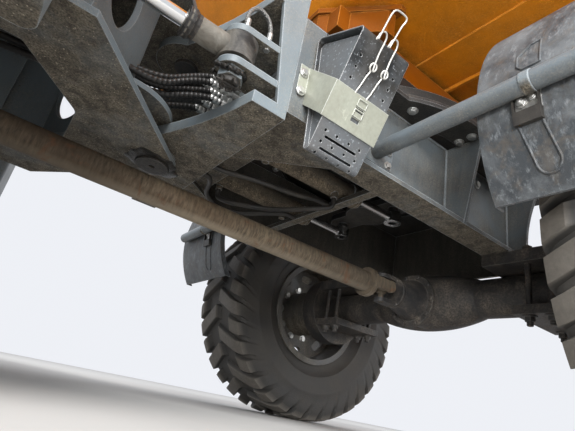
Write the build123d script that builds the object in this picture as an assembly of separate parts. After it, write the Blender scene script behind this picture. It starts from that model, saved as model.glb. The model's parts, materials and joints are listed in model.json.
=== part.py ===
from build123d import *
import os
from math import pi, radians, tan

os.makedirs("parts", exist_ok=True)

# Swivel-skip site dumper, steered by a pivot between its two halves.
# Millimetres, X forward to the skip, Y to the driver's left, Z up from the ground.

# Layout along the machine
FRONT_OVERHANG = 1200        # front axle to the skip's pouring lip
FRONT_TO_PIVOT = 1252        # front axle to the steering pivot
PIVOT_TO_REAR = 1150         # steering pivot to the rear axle
REAR_OVERHANG = 850          # rear axle to the back of the counterweight
LENGTH = FRONT_OVERHANG + FRONT_TO_PIVOT + PIVOT_TO_REAR + REAR_OVERHANG
FRONT_X = LENGTH / 2 - FRONT_OVERHANG
PIVOT_X = FRONT_X - FRONT_TO_PIVOT
REAR_X = PIVOT_X - PIVOT_TO_REAR
SEAT_GAP = 0.3               # between faces that lie on each other
PIN_GAP = 0.05               # radial, between a pin and its bore
SWING_GAP = 6                # between plates that turn past each other

# Wheels
TRACK = 1770
TYRE_R = 545
TYRE_W = 400
LUGS = 18                    # a side, staggered by half a pitch
LUG_DEPTH = 26
LUG_SLANT = 28               # degrees from the axle's direction
RIM_R = 254
RIM_W = 310
FLANGE_R = 272
RIM_T = 10
HAND_HOLES = 8
HUB_R = 118
AXLE_Z = TYRE_R

# Axles
SPINDLE_R = 60
BEAM_R = 72
BOWL_R = 112
BOWL_HALF = 235
DRUM_R = 165
DRUM_OUT = TRACK / 2 - 225   # outer face of the brake drum
SHAFT_Z = AXLE_Z - 22
SHAFT_R = 38

# Skip half's frame
RAIL_Y = 330
WEB_T = 12
FLANGE_IN = 310
FLANGE_OUT = 410
RAIL_Z = AXLE_Z + 115
PLATE_T = 14
DECK_Z = RAIL_Z + 295
POST_X = FRONT_X - 1100
POST_Y = FLANGE_OUT + 10     # outer face of the posts
POST_TOP = DECK_Z + 130
CHEEK_LEN = 68
RAIL_END_X = FRONT_X + 130
RING_X = FRONT_X - 420
RING_R = 490
RING_HOLE_R = 380

# Steering pivot
HUB_PLATE_R = 95
KEEPER_R = 105
FORK_TIP_R = 61
PIVOT_PIN_R = 35
FORK_T = 16
TONGUE_T = 30
FORK_Z = RAIL_Z - 60
TONGUE_Z = RAIL_Z - 24
KEEPER_Z = TONGUE_Z + TONGUE_T + SWING_GAP
UPPER_TONGUE_Z = DECK_Z
UPPER_FORK_Z = UPPER_TONGUE_Z + TONGUE_T + SWING_GAP
FORK_SLOPE = 1.284           # Y over X along the fork's edges
FORK_HALF = 440
FORK_BACK_X = PIVOT_X - 560

# Steering cylinders
STEER_Y = 375
STEER_Z = RAIL_Z + 105
STEER_EYE_X = FRONT_X - 1235
STEER_BASE_X = FRONT_X - 2150
STEER_ROD_R = 17
STEER_BARREL_R = 34
STEER_BARREL_LEN = 560
STEER_PIN_R = 20
LUG_R = 40
LUG_T = 18
EYE_R = 44
EYE_H = 64

# Turntable, slewing crank and skip hinge
RACE_T = 20
TURN_Z = DECK_Z + PLATE_T + 2 * RACE_T + SEAT_GAP
TURN_R = 470
CRANK_R = 135
CRANK_T = 25
SLEW_Z = RAIL_Z + 74
CRANK_Z = SLEW_Z + 41
SLEW_BASE_X = POST_X + 70
SLEW_BARREL_R = 35
SLEW_ROD_R = 15
HINGE_X = FRONT_X + 500
HINGE_Z = DECK_Z + 210
ARM_Y = 300
ARM_W = 80
ARM_LOW = HINGE_Z - 50
ARM_TOP = HINGE_Z + 35
HINGE_PIN_R = 25
REST_BACK = 981              # behind the front axle
REST_CORNER = 266
REST_HALF = 460

# Tipping rams
RAM_Y = 130
RAM_BASE_X = HINGE_X - 1450
RAM_BASE_Z = HINGE_Z - 90
RAM_EYE_X = HINGE_X - 480
RAM_EYE_Z = HINGE_Z + 10
RAM_R = 35
RAM_ROD_R = 22
RAM_BARREL_LEN = 650

# Skip
SKIP_HALF = 900              # to the outside of its rim
RIM_OUT = 30                 # how far rim and ribs stand off its walls
RIM_DEEP = 46
SKIP_WALL = 8
SKIP_FLOOR = HINGE_Z + 55
FOLD_R = 70

# Engine half
REAR_RAIL_Y = 278
REAR_RAIL_OUT = 332
REAR_RAIL_Z = AXLE_Z + 85
REAR_RAIL_TOP = REAR_RAIL_Z + 270
REAR_RAIL_X = PIVOT_X - 400
PLATFORM_Z = UPPER_FORK_Z + FORK_T + SEAT_GAP
PLATFORM_T = 8
PLATFORM_X = PIVOT_X - 328
HOOP_X = FRONT_X - 2800
HOOP_Y = 500
HOOP_W = 80
HOOP_FOOT_Z = REAR_RAIL_TOP
HOOP_H = 1880
GUARD_IN = TRACK / 2 - 285   # inner edge of the rear mudguards
COVER_LOW = PLATFORM_Z + 32
COVER_TOP = COVER_LOW + 260
BONNET_H = 214
LID_X = REAR_X - 794
LID_Z = COVER_TOP + 6
LID_PIN_R = 7
CONSOLE_X = FRONT_X - 1900
SEAT_X = FRONT_X - 2700
TOW_R = 16
TOW_Z = RAIL_Z - 40
LASH_R = 22
LASH_X = RAIL_END_X + 50
LASH_T = 25

# Mudguards of the front wheels, and the wheel chock beside the right rail
TUBE_X = FRONT_X - 740
TUBE_R = 24
TUBE_Z = RAIL_Z + 110
GUARD_R = 434
GUARD_X = FRONT_X - 283
GUARD_Z = AXLE_Z + 249.6
GUARD_T = 6
CHOCK_X = FRONT_X - 1056
CHOCK_W = 150
CHOCK_TOP = (-600, RAIL_Z + 170)
CHOCK_TIP = (-450, RAIL_Z - 125)
CHOCK_BACK = (-POST_Y - 2, RAIL_Z + 258)
SHEET_T = 3

# Propeller shaft
JOINT_FRONT_X = FRONT_X - 300
JOINT_REAR_X = PIVOT_X - 690
FORK_LEN = 85                # from a joint's middle to the tube or sleeve of its fork
SLEEVE_LEN = 100
SLIP_IN = 25                 # of the tube inside the sleeve, straight ahead
SLIP_GAP = 1.5               # radial, because the joints turn by fixed shares of the steering angle


def block(x, y, z):
    """Box from three (low, high) pairs."""
    spans = (x, y, z)
    middle = [(low + high) / 2 for low, high in spans]
    sides = [high - low for low, high in spans]
    return Pos(*middle) * Box(*sides)


def bar(start, end, radius):
    """Round bar between two points."""
    run = Vector(*end) - Vector(*start)
    seat = Plane(origin=start, z_dir=run)
    return seat * Cylinder(radius, run.length, align=(Align.CENTER, Align.CENTER, Align.MIN))


def pin(x, y, low, high, radius):
    """Upright round bar."""
    return bar((x, y, low), (x, y, high), radius)


def face_of(outline):
    """Face of a list of corners, or of a closed wire of lines and arcs."""
    return make_face(Polyline(*outline, close=True) if isinstance(outline, list) else outline)


def flat(outline, low, high):
    """Plate of an outline in X and Y between two heights."""
    return Pos(0, 0, low) * extrude(face_of(outline), high - low)


def side(outline, low, high):
    """Plate of an outline in X and Z between two values of Y."""
    plane = Plane(origin=(0, high, 0), x_dir=(1, 0, 0), z_dir=(0, -1, 0))
    return plane * extrude(face_of(outline), high - low)


def cross(outline, low, high):
    """Plate of an outline in Y and Z between two values of X."""
    plane = Plane(origin=(low, 0, 0), x_dir=(0, 1, 0), z_dir=(1, 0, 0))
    return plane * extrude(face_of(outline), high - low)


def chain(*pieces):
    """One wire of lines, polylines and arcs that follow each other."""
    return Wire([edge for piece in pieces for edge in piece.edges()])


def sheet(path, thickness):
    """Outline of a bent sheet: the path, thickened to its left."""
    return offset(path, thickness, side=Side.LEFT)


def spin(outline):
    """Solid of revolution about Z from an outline of radius and height."""
    return revolve(Plane.XZ * face_of(outline), Axis.Z)


def both(make):
    """The same piece on the left and on the right."""
    return make(1) + make(-1)


def span(a, b, s):
    """Ordered pair of values a and b, seen from the side s."""
    return tuple(sorted((a * s, b * s)))


def save(name, part):
    part.label = name
    export_step(part, f"parts/{name}.step")


# Wheels: outlines of radius and distance outwards from the wheel's middle plane
def tyre(s):
    """Tyre for the side s, its lug bars cut as slanted channels from a full outline."""
    half = TYRE_W / 2
    bead = RIM_W / 2 - RIM_T - 6
    wall = [(RIM_R + SEAT_GAP, bead), (FLANGE_R + 20, bead + 6), (TYRE_R - 145, half), (TYRE_R - 75, half),
            (TYRE_R - 25, half - 16), (TYRE_R, half - 48)]
    body = spin([(r, -out) for r, out in wall] + wall[::-1])
    channel = Box(2 * LUG_DEPTH, pi * TYRE_R / LUGS, half + 40)
    cuts = []
    for k in range(2 * LUGS):
        t = 1 if k % 2 else -1
        seat = Rot(0, 0, 180 / LUGS * k) * Pos(TYRE_R, 0, t * (half / 2 + 28))
        cuts.append(seat * Rot(t * s * LUG_SLANT, 0, 0) * channel)
    return body - cuts


def rim():
    """Rim barrel, dished disc with oblong hand holes, and hub."""
    half = RIM_W / 2
    well = RIM_R - RIM_T
    barrel = spin([(well, -half), (FLANGE_R, -half), (FLANGE_R, -half + RIM_T), (RIM_R, -half + RIM_T),
                   (RIM_R, half - RIM_T), (FLANGE_R, half - RIM_T), (FLANGE_R, half), (well, half)])
    disc = spin([(0, 30), (well, -10), (well, 6), (HUB_R + 40, 46), (0, 46)])
    hole = Rot(0, 0, 90) * extrude(SlotOverall(78, 40), 100, both=True)
    holes = PolarLocations((HUB_R + 40 + well) / 2, HAND_HOLES) * hole
    bore = SPINDLE_R + PIN_GAP
    hub = spin([(0, -80), (bore, -80), (bore, -215), (HUB_R, -215), (HUB_R, 60), (HUB_R - 30, 100), (0, 100)])
    return barrel + (disc - holes - Pos(0, 0, -150) * Cylinder(bore, 140)) + hub


def wheel_plane(x, s):
    return Plane(origin=(x, s * TRACK / 2, AXLE_Z), x_dir=(1, 0, 0), z_dir=(0, s, 0))


def axle(x, nose):
    """Axle casing at x, swollen round its gears, with carrier ring and pinion nose along nose."""
    drum_in = DRUM_OUT - 90
    end = [(BEAM_R, BOWL_HALF), (BEAM_R, drum_in), (DRUM_R, drum_in), (DRUM_R, DRUM_OUT), (SPINDLE_R, DRUM_OUT),
           (SPINDLE_R, TRACK / 2 - 85), (0, TRACK / 2 - 85)]
    other = [(r, -y) for r, y in end[::-1]]
    swell = ThreePointArc((BEAM_R, -BOWL_HALF), (BOWL_R, 0), (BEAM_R, BOWL_HALF))
    outline = chain(Polyline(*other), swell, Polyline(*end), Line(end[-1], other[0]))
    casing = Plane(origin=(x, 0, AXLE_Z), x_dir=(1, 0, 0), z_dir=(0, 1, 0)) * spin(outline)
    carrier = bar((x, 0, SHAFT_Z), (x + nose * 112, 0, SHAFT_Z), 88)
    ring = bar((x + nose * 112, 0, SHAFT_Z), (x + nose * 128, 0, SHAFT_Z), 104)
    seat = Plane(origin=(x + nose * 128, 0, SHAFT_Z), z_dir=(nose, 0, 0))
    return casing + carrier + ring + seat * Cone(82, 56, 97, align=(Align.CENTER, Align.CENTER, Align.MIN))


def yoke(x, way):
    """Companion flange and its two ears above and below the joint at x, fixed side towards way."""
    parts = bar((x + way * 60, 0, SHAFT_Z), (x + way * 75, 0, SHAFT_Z), 58)
    for up in (1, -1):
        level = span(40, 54, up)
        z = (SHAFT_Z + level[0], SHAFT_Z + level[1])
        ear = pin(x, 0, *z, 24) + block(tuple(sorted((x, x + way * 62))), (-24, 24), z)
        parts += ear - pin(x, 0, SHAFT_Z - 60, SHAFT_Z + 60, 10 + PIN_GAP)
    return parts


def spider(x, way):
    """Joint cross at x with the moving fork's ears at its sides, the fork's tube towards way."""
    body = pin(x, 0, SHAFT_Z - 52, SHAFT_Z + 52, 10) + bar((x, -52, SHAFT_Z), (x, 52, SHAFT_Z), 12)
    body += Pos(x, 0, SHAFT_Z) * Sphere(26)
    for s in (1, -1):
        body += bar((x, s * 38, SHAFT_Z), (x, s * 52, SHAFT_Z), 22)
        body += block(tuple(sorted((x, x + way * 22))), span(38, 52, s), (SHAFT_Z - 20, SHAFT_Z + 20))
        body += block(tuple(sorted((x + way * 18, x + way * 80))), span(30, 52, s), (SHAFT_Z - 20, SHAFT_Z + 20))
    return body + bar((x + way * 70, 0, SHAFT_Z), (x + way * 90, 0, SHAFT_Z), 54)


# Skip half's frame
def tongue(low):
    """Pivot tongue of the skip half: hollow-backed arms from the posts to a round hub."""
    x, y = PIVOT_X - 38, (HUB_PLATE_R ** 2 - 38 ** 2) ** 0.5
    root, waist = PIVOT_X + 62, (PIVOT_X + 27, 261)
    outline = chain(
        Line((POST_X, -POST_Y), (root, -POST_Y)),
        ThreePointArc((root, -POST_Y), (waist[0], -waist[1]), (x, -y)),
        ThreePointArc((x, -y), (PIVOT_X - HUB_PLATE_R, 0), (x, y)),
        ThreePointArc((x, y), waist, (root, POST_Y)),
        Polyline((root, POST_Y), (POST_X, POST_Y), (POST_X, -POST_Y)))
    return flat(outline, low, low + TONGUE_T) - pin(PIVOT_X, 0, low - 5, low + TONGUE_T + 5, PIVOT_PIN_R + PIN_GAP)


def pivot_bracket():
    """Both tongues of the steering pivot, the posts and the lugs of the steering rods."""
    frame = tongue(TONGUE_Z) + tongue(UPPER_TONGUE_Z)
    frame += block((POST_X - PLATE_T, POST_X), (-FLANGE_OUT, FLANGE_OUT), (TONGUE_Z, SLEW_Z + 40))
    low_lug = STEER_Z - EYE_H / 2 - SWING_GAP - LUG_T
    high_lug = STEER_Z + EYE_H / 2 + SWING_GAP
    post = [(POST_X, TONGUE_Z), (POST_X - 24, TONGUE_Z), (POST_X - 72, UPPER_TONGUE_Z), (POST_X - 72, POST_TOP),
            (POST_X, POST_TOP)]
    for s in (1, -1):
        y = s * STEER_Y
        frame += block((POST_X - PLATE_T, POST_X), span(RAIL_Y, POST_Y, s), (TONGUE_Z, POST_TOP))
        frame += side(post, *span(POST_Y - WEB_T, POST_Y, s))
        for low in (low_lug, high_lug):
            frame += block((STEER_EYE_X, POST_X - 5), span(STEER_Y - LUG_R, STEER_Y + LUG_R, s), (low, low + LUG_T))
            frame += pin(STEER_EYE_X, y, low, low + LUG_T, LUG_R)
        frame += pin(STEER_EYE_X, y, low_lug - 26, STEER_Z - EYE_H / 2 - 1, STEER_PIN_R)
        frame += pin(STEER_EYE_X, y, STEER_Z + EYE_H / 2 + 1, high_lug + LUG_T + 8, STEER_PIN_R)
        frame += Pos(STEER_EYE_X, y, low_lug - 24) * extrude(RegularPolygon(31, 6), 24)
    return frame


def front_rails():
    """Both rails with their flanges, corner gussets, cheeks, outer ribs and lashing eyes."""
    start = POST_X + SEAT_GAP
    top = DECK_Z - SEAT_GAP

    def one(s):
        floor = (RAIL_Z, RAIL_Z + PLATE_T)
        rail = block((start, RAIL_END_X), span(RAIL_Y - WEB_T / 2, RAIL_Y + WEB_T / 2, s), (RAIL_Z, top))
        rail += block((start, RAIL_END_X), span(FLANGE_IN, FLANGE_OUT, s), floor)
        rail += flat([(start, s * 115), (start, s * FLANGE_IN), (POST_X + 235, s * FLANGE_IN)], *floor)
        rail += block((start, POST_X + CHEEK_LEN), span(FLANGE_OUT - 4, POST_Y, s), (RAIL_Z, top))
        root, low, high = (s * RAIL_Y, RAIL_Z), (s * FLANGE_OUT, RAIL_Z), (s * (RING_R - 20), top)
        last = (s * RAIL_Y, top)
        rail += cross([root, low, high, last], FRONT_X - 400, FRONT_X - 400 + WEB_T)
        hollow = ThreePointArc(low, (s * (FLANGE_OUT + 12), (RAIL_Z + top) / 2 + 20), high)
        rail += cross(chain(Line(root, low), hollow, Polyline(high, last, root)), FRONT_X - 20, FRONT_X - 20 + WEB_T)
        tab = block((RAIL_END_X - 5, LASH_X), span(RAIL_Y - 30, RAIL_Y + 70, s), (RAIL_Z, RAIL_Z + LASH_T))
        tab += pin(LASH_X, s * (RAIL_Y + 20), RAIL_Z, RAIL_Z + LASH_T, 50)
        return rail + tab - pin(LASH_X, s * (RAIL_Y + 20), RAIL_Z - 5, RAIL_Z + LASH_T + 5, LASH_R)
    return both(one)


def front_deck():
    """Plate over the rails with the slew ring's round seat."""
    deck = block((POST_X + SEAT_GAP, RAIL_END_X), (-FLANGE_OUT, FLANGE_OUT), (DECK_Z, DECK_Z + PLATE_T))
    deck += pin(RING_X, 0, DECK_Z, DECK_Z + PLATE_T, RING_R)
    return deck - pin(RING_X, 0, DECK_Z - 5, DECK_Z + PLATE_T + 5, RING_HOLE_R)


def front_crossmembers():
    """Front plate between the rails, the slewing cylinders' anchor and the hoses' bulkhead."""
    inner = RAIL_Y - WEB_T / 2 - SEAT_GAP
    floor = RAIL_Z + PLATE_T + SEAT_GAP
    front = block((RAIL_END_X - 20, RAIL_END_X - 6), (-inner, inner), (floor, DECK_Z - SEAT_GAP))
    anchor = block((SLEW_BASE_X - 50, SLEW_BASE_X + 10), (-inner, inner), (SLEW_Z - 59, SLEW_Z - 40))
    strip = block((FRONT_X - 690, FRONT_X - 660), (-inner, inner), (floor, SLEW_Z - SLEW_BARREL_R - 8))
    return front + anchor + strip


def axle_clamps(x, top, inner, first_stud):
    """Pads over and plates under the beam, with four studs a side."""
    outer = first_stud + 115

    def one(s):
        y = span(first_stud - 40, outer, s)
        stack = block((x - 140, x + 140), y, (AXLE_Z - BEAM_R - 30, AXLE_Z - BEAM_R - SEAT_GAP))
        stack += block((x - 140, x + 140), span(inner, outer, s), (AXLE_Z + BEAM_R + SEAT_GAP, top - SEAT_GAP))
        for dx in (-110, 110):
            for y_stud in (first_stud, first_stud + 70):
                stack += pin(x + dx, s * y_stud, AXLE_Z - BEAM_R - 55, top + 20, 10)
        return stack
    return both(one)


def slew_ring():
    low = DECK_Z + PLATE_T
    ring = pin(RING_X, 0, low, low + RACE_T, RING_R - 12)
    return ring - pin(RING_X, 0, low - 5, low + RACE_T + 5, RING_HOLE_R + 30)


def mudguard_tubes():
    """Tubes that carry the front mudguards, flanged to the rails."""
    web = RAIL_Y + WEB_T / 2 + SEAT_GAP

    def one(s):
        tube = bar((TUBE_X, s * (web + 10), TUBE_Z), (TUBE_X, s * (TRACK / 2 + 145), TUBE_Z), TUBE_R)
        plate = Pos(TUBE_X, s * (web + 5), TUBE_Z) * Rot(90, 0, 0) * extrude(RectangleRounded(140, 80, 14), 5, both=True)
        return tube + plate
    return both(one)


def front_mudguards():
    """Moulded guards behind the front wheels, round an axis in front of the tubes, with side lips."""
    def band(inner, outer):
        points = []
        for radius, top in ((inner, 300), (outer, 300)):
            low = 247
            points.append([(GUARD_X - (radius ** 2 - z * z) ** 0.5, GUARD_Z + z) for z in (-low, 0, top)])
        (a, b, c), (d, e, f) = points
        return chain(ThreePointArc(a, b, c), Line(c, f), ThreePointArc(f, e, d), Line(d, a))

    def one(s):
        low, high = TRACK / 2 - 235, TRACK / 2 + 195
        guard = side(band(GUARD_R - GUARD_T, GUARD_R), *span(low, high, s))
        for y in (low, high - GUARD_T):
            guard += side(band(GUARD_R - 24, GUARD_R), *span(y, y + GUARD_T, s))
        slot = bar((TUBE_X, s * (low - 5), TUBE_Z), (TUBE_X, s * (high + 5), TUBE_Z), TUBE_R + SEAT_GAP)
        return guard - slot
    return both(one)


def chock_outline(inset, x, drop=0):
    """Folded outline of the wheel chock across X, moved inwards by inset and cut drop below its top."""
    tri = fillet(make_face(Polyline(CHOCK_TOP, CHOCK_TIP, CHOCK_BACK, close=True)).vertices(), 12)
    tri = offset(tri, -inset) if inset else tri
    tri = tri & Pos(0, -drop) * tri if drop else tri
    return Plane(origin=(x, 0, 0), x_dir=(0, 1, 0), z_dir=(1, 0, 0)) * tri


def chock_face():
    """Plane on the chock's perforated outer face, X along the machine, Y up the face."""
    up = Vector(0, CHOCK_TOP[0] - CHOCK_TIP[0], CHOCK_TOP[1] - CHOCK_TIP[1])
    out = Vector(0, -up.Z, up.Y).normalized()
    return Plane(origin=(CHOCK_X + CHOCK_W / 2, *CHOCK_TIP), x_dir=(1, 0, 0), z_dir=out)


def wheel_chock():
    """Wedge folded from perforated sheet, with two gussets inside that end below its top."""
    chock = extrude(chock_outline(0, CHOCK_X), CHOCK_W) - extrude(chock_outline(SHEET_T, CHOCK_X - 5), CHOCK_W + 10)
    for x in (CHOCK_X + 12, CHOCK_X + CHOCK_W - 15):
        chock += extrude(chock_outline(SHEET_T - 0.5, x, 12), SHEET_T)
    face = chock_face()
    rows = (35, 62, 89, 190, 217, 244, 271)      # up the face, above and below the holder's band
    holes = [face * Pos(across, up, 0) * Cylinder(3.5, 20) for up in rows for across in (-52, -18, 18, 52)]
    slots = [face * Pos(0, up, 0) * extrude(SlotOverall(96, 6), 20, both=True) for up in (48, 76, 176)]
    return chock - holes - slots


def chock_holder():
    """Zinc-plated strap round the chock, bolted to the frame's cheek by an ear."""
    face = chock_face()
    x0, x1 = CHOCK_X - 4 - SHEET_T, CHOCK_X + CHOCK_W + 4
    low, high = 112, 196
    band = face * Pos((x1 + SHEET_T - x0) / 2 - CHOCK_W / 2 - 4 - SHEET_T, (low + high) / 2, SEAT_GAP) * extrude(
        Rectangle(x1 + SHEET_T - x0, high - low), SHEET_T)
    band -= [face * Pos(4, up, 0) * extrude(Rectangle(24, 9), 10) for up in (140, 164)]
    near, far = [face.from_local_coords(Vector(0, up, SEAT_GAP + SHEET_T)) for up in (low, high)]
    inner = -POST_Y - SEAT_GAP
    wing = [(near.Y, near.Z), (far.Y, far.Z), (inner, RAIL_Z + 154), (inner, RAIL_Z + 43)]
    ear = block((x0 - 26, x0 + SHEET_T), (inner - SHEET_T, inner), (RAIL_Z + 74, RAIL_Z + 150))
    return band + cross(wing, x0, x0 + SHEET_T) + cross(wing, x1, x1 + SHEET_T) + ear


def slew_barrels():
    """Slewing cylinders' barrels with gland rings, feet and ports."""
    end = FRONT_X - 600

    def one(s):
        y = s * CRANK_R
        tube = bar((SLEW_BASE_X, y, SLEW_Z), (end, y, SLEW_Z), SLEW_BARREL_R)
        tube += bar((end - 45, y, SLEW_Z), (end - 12, y, SLEW_Z), SLEW_BARREL_R + 4)
        for x in (SLEW_BASE_X + 48, end - 110):
            tube += pin(x, y + s * 12, SLEW_Z - SLEW_BARREL_R - 14, SLEW_Z, 11)
        well = bar((SLEW_BASE_X + 50, y, SLEW_Z), (end + 10, y, SLEW_Z), SLEW_ROD_R + PIN_GAP)
        foot = pin(SLEW_BASE_X - 20, y, SLEW_Z - 40 + SEAT_GAP, SLEW_Z + 30, 30)
        return tube + foot - well
    return both(one)


def hose(points, radius):
    """Hose along straight runs, with the largest arc that fits at each corner."""
    spots = [Vector(*p) for p in points]
    radii = []
    for before, here, after in zip(spots, spots[1:], spots[2:]):
        short = min((here - before).length, (after - here).length)
        turn = radians((here - before).get_angle(after - here))
        radii.append(0.45 * short / tan(turn / 2))
    path = FilletPolyline(*spots, radius=radii)
    seat = Plane(origin=spots[0], z_dir=spots[1] - spots[0])
    return sweep(seat * Circle(radius), path)


def front_hoses():
    """Hoses of the slewing cylinders: two from the strip to the pivot, one across between the ports."""
    strip, tongue_edge = FRONT_X - 690 - SEAT_GAP, POST_X + SEAT_GAP
    port_front, port_rear = FRONT_X - 710, SLEW_BASE_X + 48
    level, port = RAIL_Z - 14, SLEW_Z - SLEW_BARREL_R - 14 - SEAT_GAP
    routes = (                   # X, Y, Z
        ((strip, 92, RAIL_Z + 23), (strip - 40, 92, RAIL_Z + 23), (FRONT_X - 800, 130, RAIL_Z + 4),
         (FRONT_X - 880, 180, level), (FRONT_X - 970, 192, level), (FRONT_X - 1032, 130, level),
         (FRONT_X - 1052, 56, RAIL_Z - 9), (tongue_edge + 28, 24, RAIL_Z - 9), (tongue_edge, 24, RAIL_Z - 9)),
        ((strip, -96, RAIL_Z + 23), (strip - 45, -96, RAIL_Z + 23), (FRONT_X - 830, -84, RAIL_Z + 8),
         (FRONT_X - 920, -92, RAIL_Z - 4), (FRONT_X - 1000, -78, RAIL_Z - 9), (tongue_edge + 40, -50, RAIL_Z - 9),
         (tongue_edge, -50, RAIL_Z - 9)),
        ((port_front, -147, port), (port_front, -147, port - 32), (FRONT_X - 755, -106, level - 6),
         (FRONT_X - 790, -36, level - 6), (FRONT_X - 836, 34, level - 5), (FRONT_X - 902, 84, level - 5),
         (FRONT_X - 952, 112, port - 45), (port_rear, 147, port - 28), (port_rear, 147, port)))
    hoses = [hose(route, 8) for route in routes]
    return hoses[0] + hoses[1:]


def slew_rod(s):
    y = s * CRANK_R
    rod = bar((FRONT_X - 835, y, SLEW_Z), (RING_X - 20, y, SLEW_Z), SLEW_ROD_R)
    eye = pin(RING_X, y, SLEW_Z - 20, SLEW_Z + 20, 30)
    return rod + eye - pin(RING_X, y, SLEW_Z - 30, SLEW_Z + 30, 14)


def steer_barrel(s):
    y = s * STEER_Y
    end = STEER_BASE_X + STEER_BARREL_LEN
    eye = pin(STEER_BASE_X, y, STEER_Z - EYE_H / 2, STEER_Z + EYE_H / 2, EYE_R)
    tube = bar((STEER_BASE_X + 20, y, STEER_Z), (end, y, STEER_Z), STEER_BARREL_R)
    well = bar((STEER_BASE_X + 70, y, STEER_Z), (end + 5, y, STEER_Z), STEER_ROD_R + PIN_GAP)
    return eye + tube - well - pin(STEER_BASE_X, y, STEER_Z - 40, STEER_Z + 40, STEER_PIN_R + PIN_GAP)


def steer_rod(s):
    """Steering rod with its eye, and the sleeve and gland ring behind the eye."""
    y = s * STEER_Y
    eye = pin(STEER_EYE_X, y, STEER_Z - EYE_H / 2, STEER_Z + EYE_H / 2, EYE_R)
    rod = bar((STEER_BASE_X + 290, y, STEER_Z), (STEER_EYE_X - 20, y, STEER_Z), STEER_ROD_R)
    sleeve = bar((STEER_EYE_X - 135, y, STEER_Z), (STEER_EYE_X, y, STEER_Z), 28)
    sleeve += bar((STEER_EYE_X - 135, y, STEER_Z), (STEER_EYE_X - 117, y, STEER_Z), 33)
    return rod + sleeve + eye - pin(STEER_EYE_X, y, STEER_Z - 40, STEER_Z + 40, STEER_PIN_R)


# Turntable and skip
def turntable():
    """Round table with the slewing crank below it and the arms' and rams' supports on it."""
    low = TURN_Z - RACE_T
    base = pin(RING_X, 0, low, TURN_Z, TURN_R)
    base -= pin(RING_X, 0, low - 5, TURN_Z - RACE_T * 0.4, RING_HOLE_R + 30)
    base += pin(RING_X, 0, TURN_Z, TURN_Z + 15, TURN_R)
    base += pin(RING_X, 0, CRANK_Z, TURN_Z, 80)
    base += block((RING_X - 48, RING_X + 48), (-CRANK_R, CRANK_R), (CRANK_Z, CRANK_Z + CRANK_T))
    for s in (1, -1):
        base += pin(RING_X, s * CRANK_R, CRANK_Z, CRANK_Z + CRANK_T, 48)
        base += pin(RING_X, s * CRANK_R, CRANK_Z - 15, CRANK_Z, 18)
        base += block((RING_X - 430, RING_X + 430), span(ARM_Y - ARM_W / 2, ARM_Y + ARM_W / 2, s),
                      (TURN_Z + 15, ARM_LOW - SEAT_GAP))
        for y in (RAM_Y - 52, RAM_Y + 40):
            lug = block((RAM_BASE_X, RAM_BASE_X + 110), span(y, y + 12, s), (TURN_Z + 5, RAM_BASE_Z))
            base += lug + bar((RAM_BASE_X, s * y, RAM_BASE_Z), (RAM_BASE_X, s * (y + 12), RAM_BASE_Z), 38)
        base += bar((RAM_BASE_X, s * (RAM_Y - 52), RAM_BASE_Z), (RAM_BASE_X, s * (RAM_Y + 52), RAM_BASE_Z), 16)
    return base


def skip_arms():
    """Both arms from the turntable to the skip's hinge pins, and the skip's chamfered rest across them."""
    back, front = FRONT_X - REST_BACK, FRONT_X - REST_BACK + 190
    floor, rest = ARM_TOP - SEAT_GAP, SKIP_FLOOR - SEAT_GAP

    def one(s):
        wide = span(ARM_Y - ARM_W / 2, ARM_Y + ARM_W / 2, s)
        arm = block((back + 30, HINGE_X + 20), wide, (ARM_LOW, ARM_TOP))
        arm += bar((HINGE_X, wide[0], HINGE_Z), (HINGE_X, wide[1], HINGE_Z), 45)
        arm += bar((HINGE_X, s * ARM_Y, HINGE_Z), (HINGE_X, s * 455, HINGE_Z), HINGE_PIN_R)
        inner, corner, outer = (RAM_Y + 60) * s, (REST_CORNER - 6) * s, (REST_HALF - 30) * s
        return arm + flat([(back + 8, inner), (back + 8, corner), (front - 42, outer), (front - 10, outer),
                           (front - 10, inner)], ARM_LOW, rest)
    tie = bar((HINGE_X - 90, ARM_W / 2 - ARM_Y, HINGE_Z), (HINGE_X - 90, ARM_Y - ARM_W / 2, HINGE_Z), 30)
    plate = flat([(back, -REST_CORNER), (front - 20, -REST_HALF), (front, -REST_HALF), (front, REST_HALF),
                  (front - 20, REST_HALF), (back, REST_CORNER)], floor, rest)
    return both(one) + tie + plate


def ram_line():
    """Direction and length of the tipping rams at rest."""
    run = Vector(RAM_EYE_X - RAM_BASE_X, 0, RAM_EYE_Z - RAM_BASE_Z)
    return run.normalized(), run.length


def tip_barrels():
    way, length = ram_line()

    def one(s):
        base = Vector(RAM_BASE_X, s * RAM_Y, RAM_BASE_Z)
        eye = bar((base.X, base.Y - 30, base.Z), (base.X, base.Y + 30, base.Z), 34)
        tube = bar(base + way * 30, base + way * RAM_BARREL_LEN, RAM_R)
        hole = bar((base.X, base.Y - 40, base.Z), (base.X, base.Y + 40, base.Z), 16 + PIN_GAP)
        well = bar(base + way * 60, base + way * (RAM_BARREL_LEN + 5), RAM_ROD_R + PIN_GAP)
        return eye + tube - hole - well
    return both(one)


def tip_rods():
    way, length = ram_line()

    def one(s):
        base = Vector(RAM_BASE_X, s * RAM_Y, RAM_BASE_Z)
        rod = bar(base + way * 240, base + way * (length - 20), RAM_ROD_R)
        eye = bar((RAM_EYE_X, s * RAM_Y - 28, RAM_EYE_Z), (RAM_EYE_X, s * RAM_Y + 28, RAM_EYE_Z), 30)
        return rod + eye - bar((RAM_EYE_X, s * RAM_Y - 40, RAM_EYE_Z), (RAM_EYE_X, s * RAM_Y + 40, RAM_EYE_Z), 14)
    return both(one)


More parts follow.
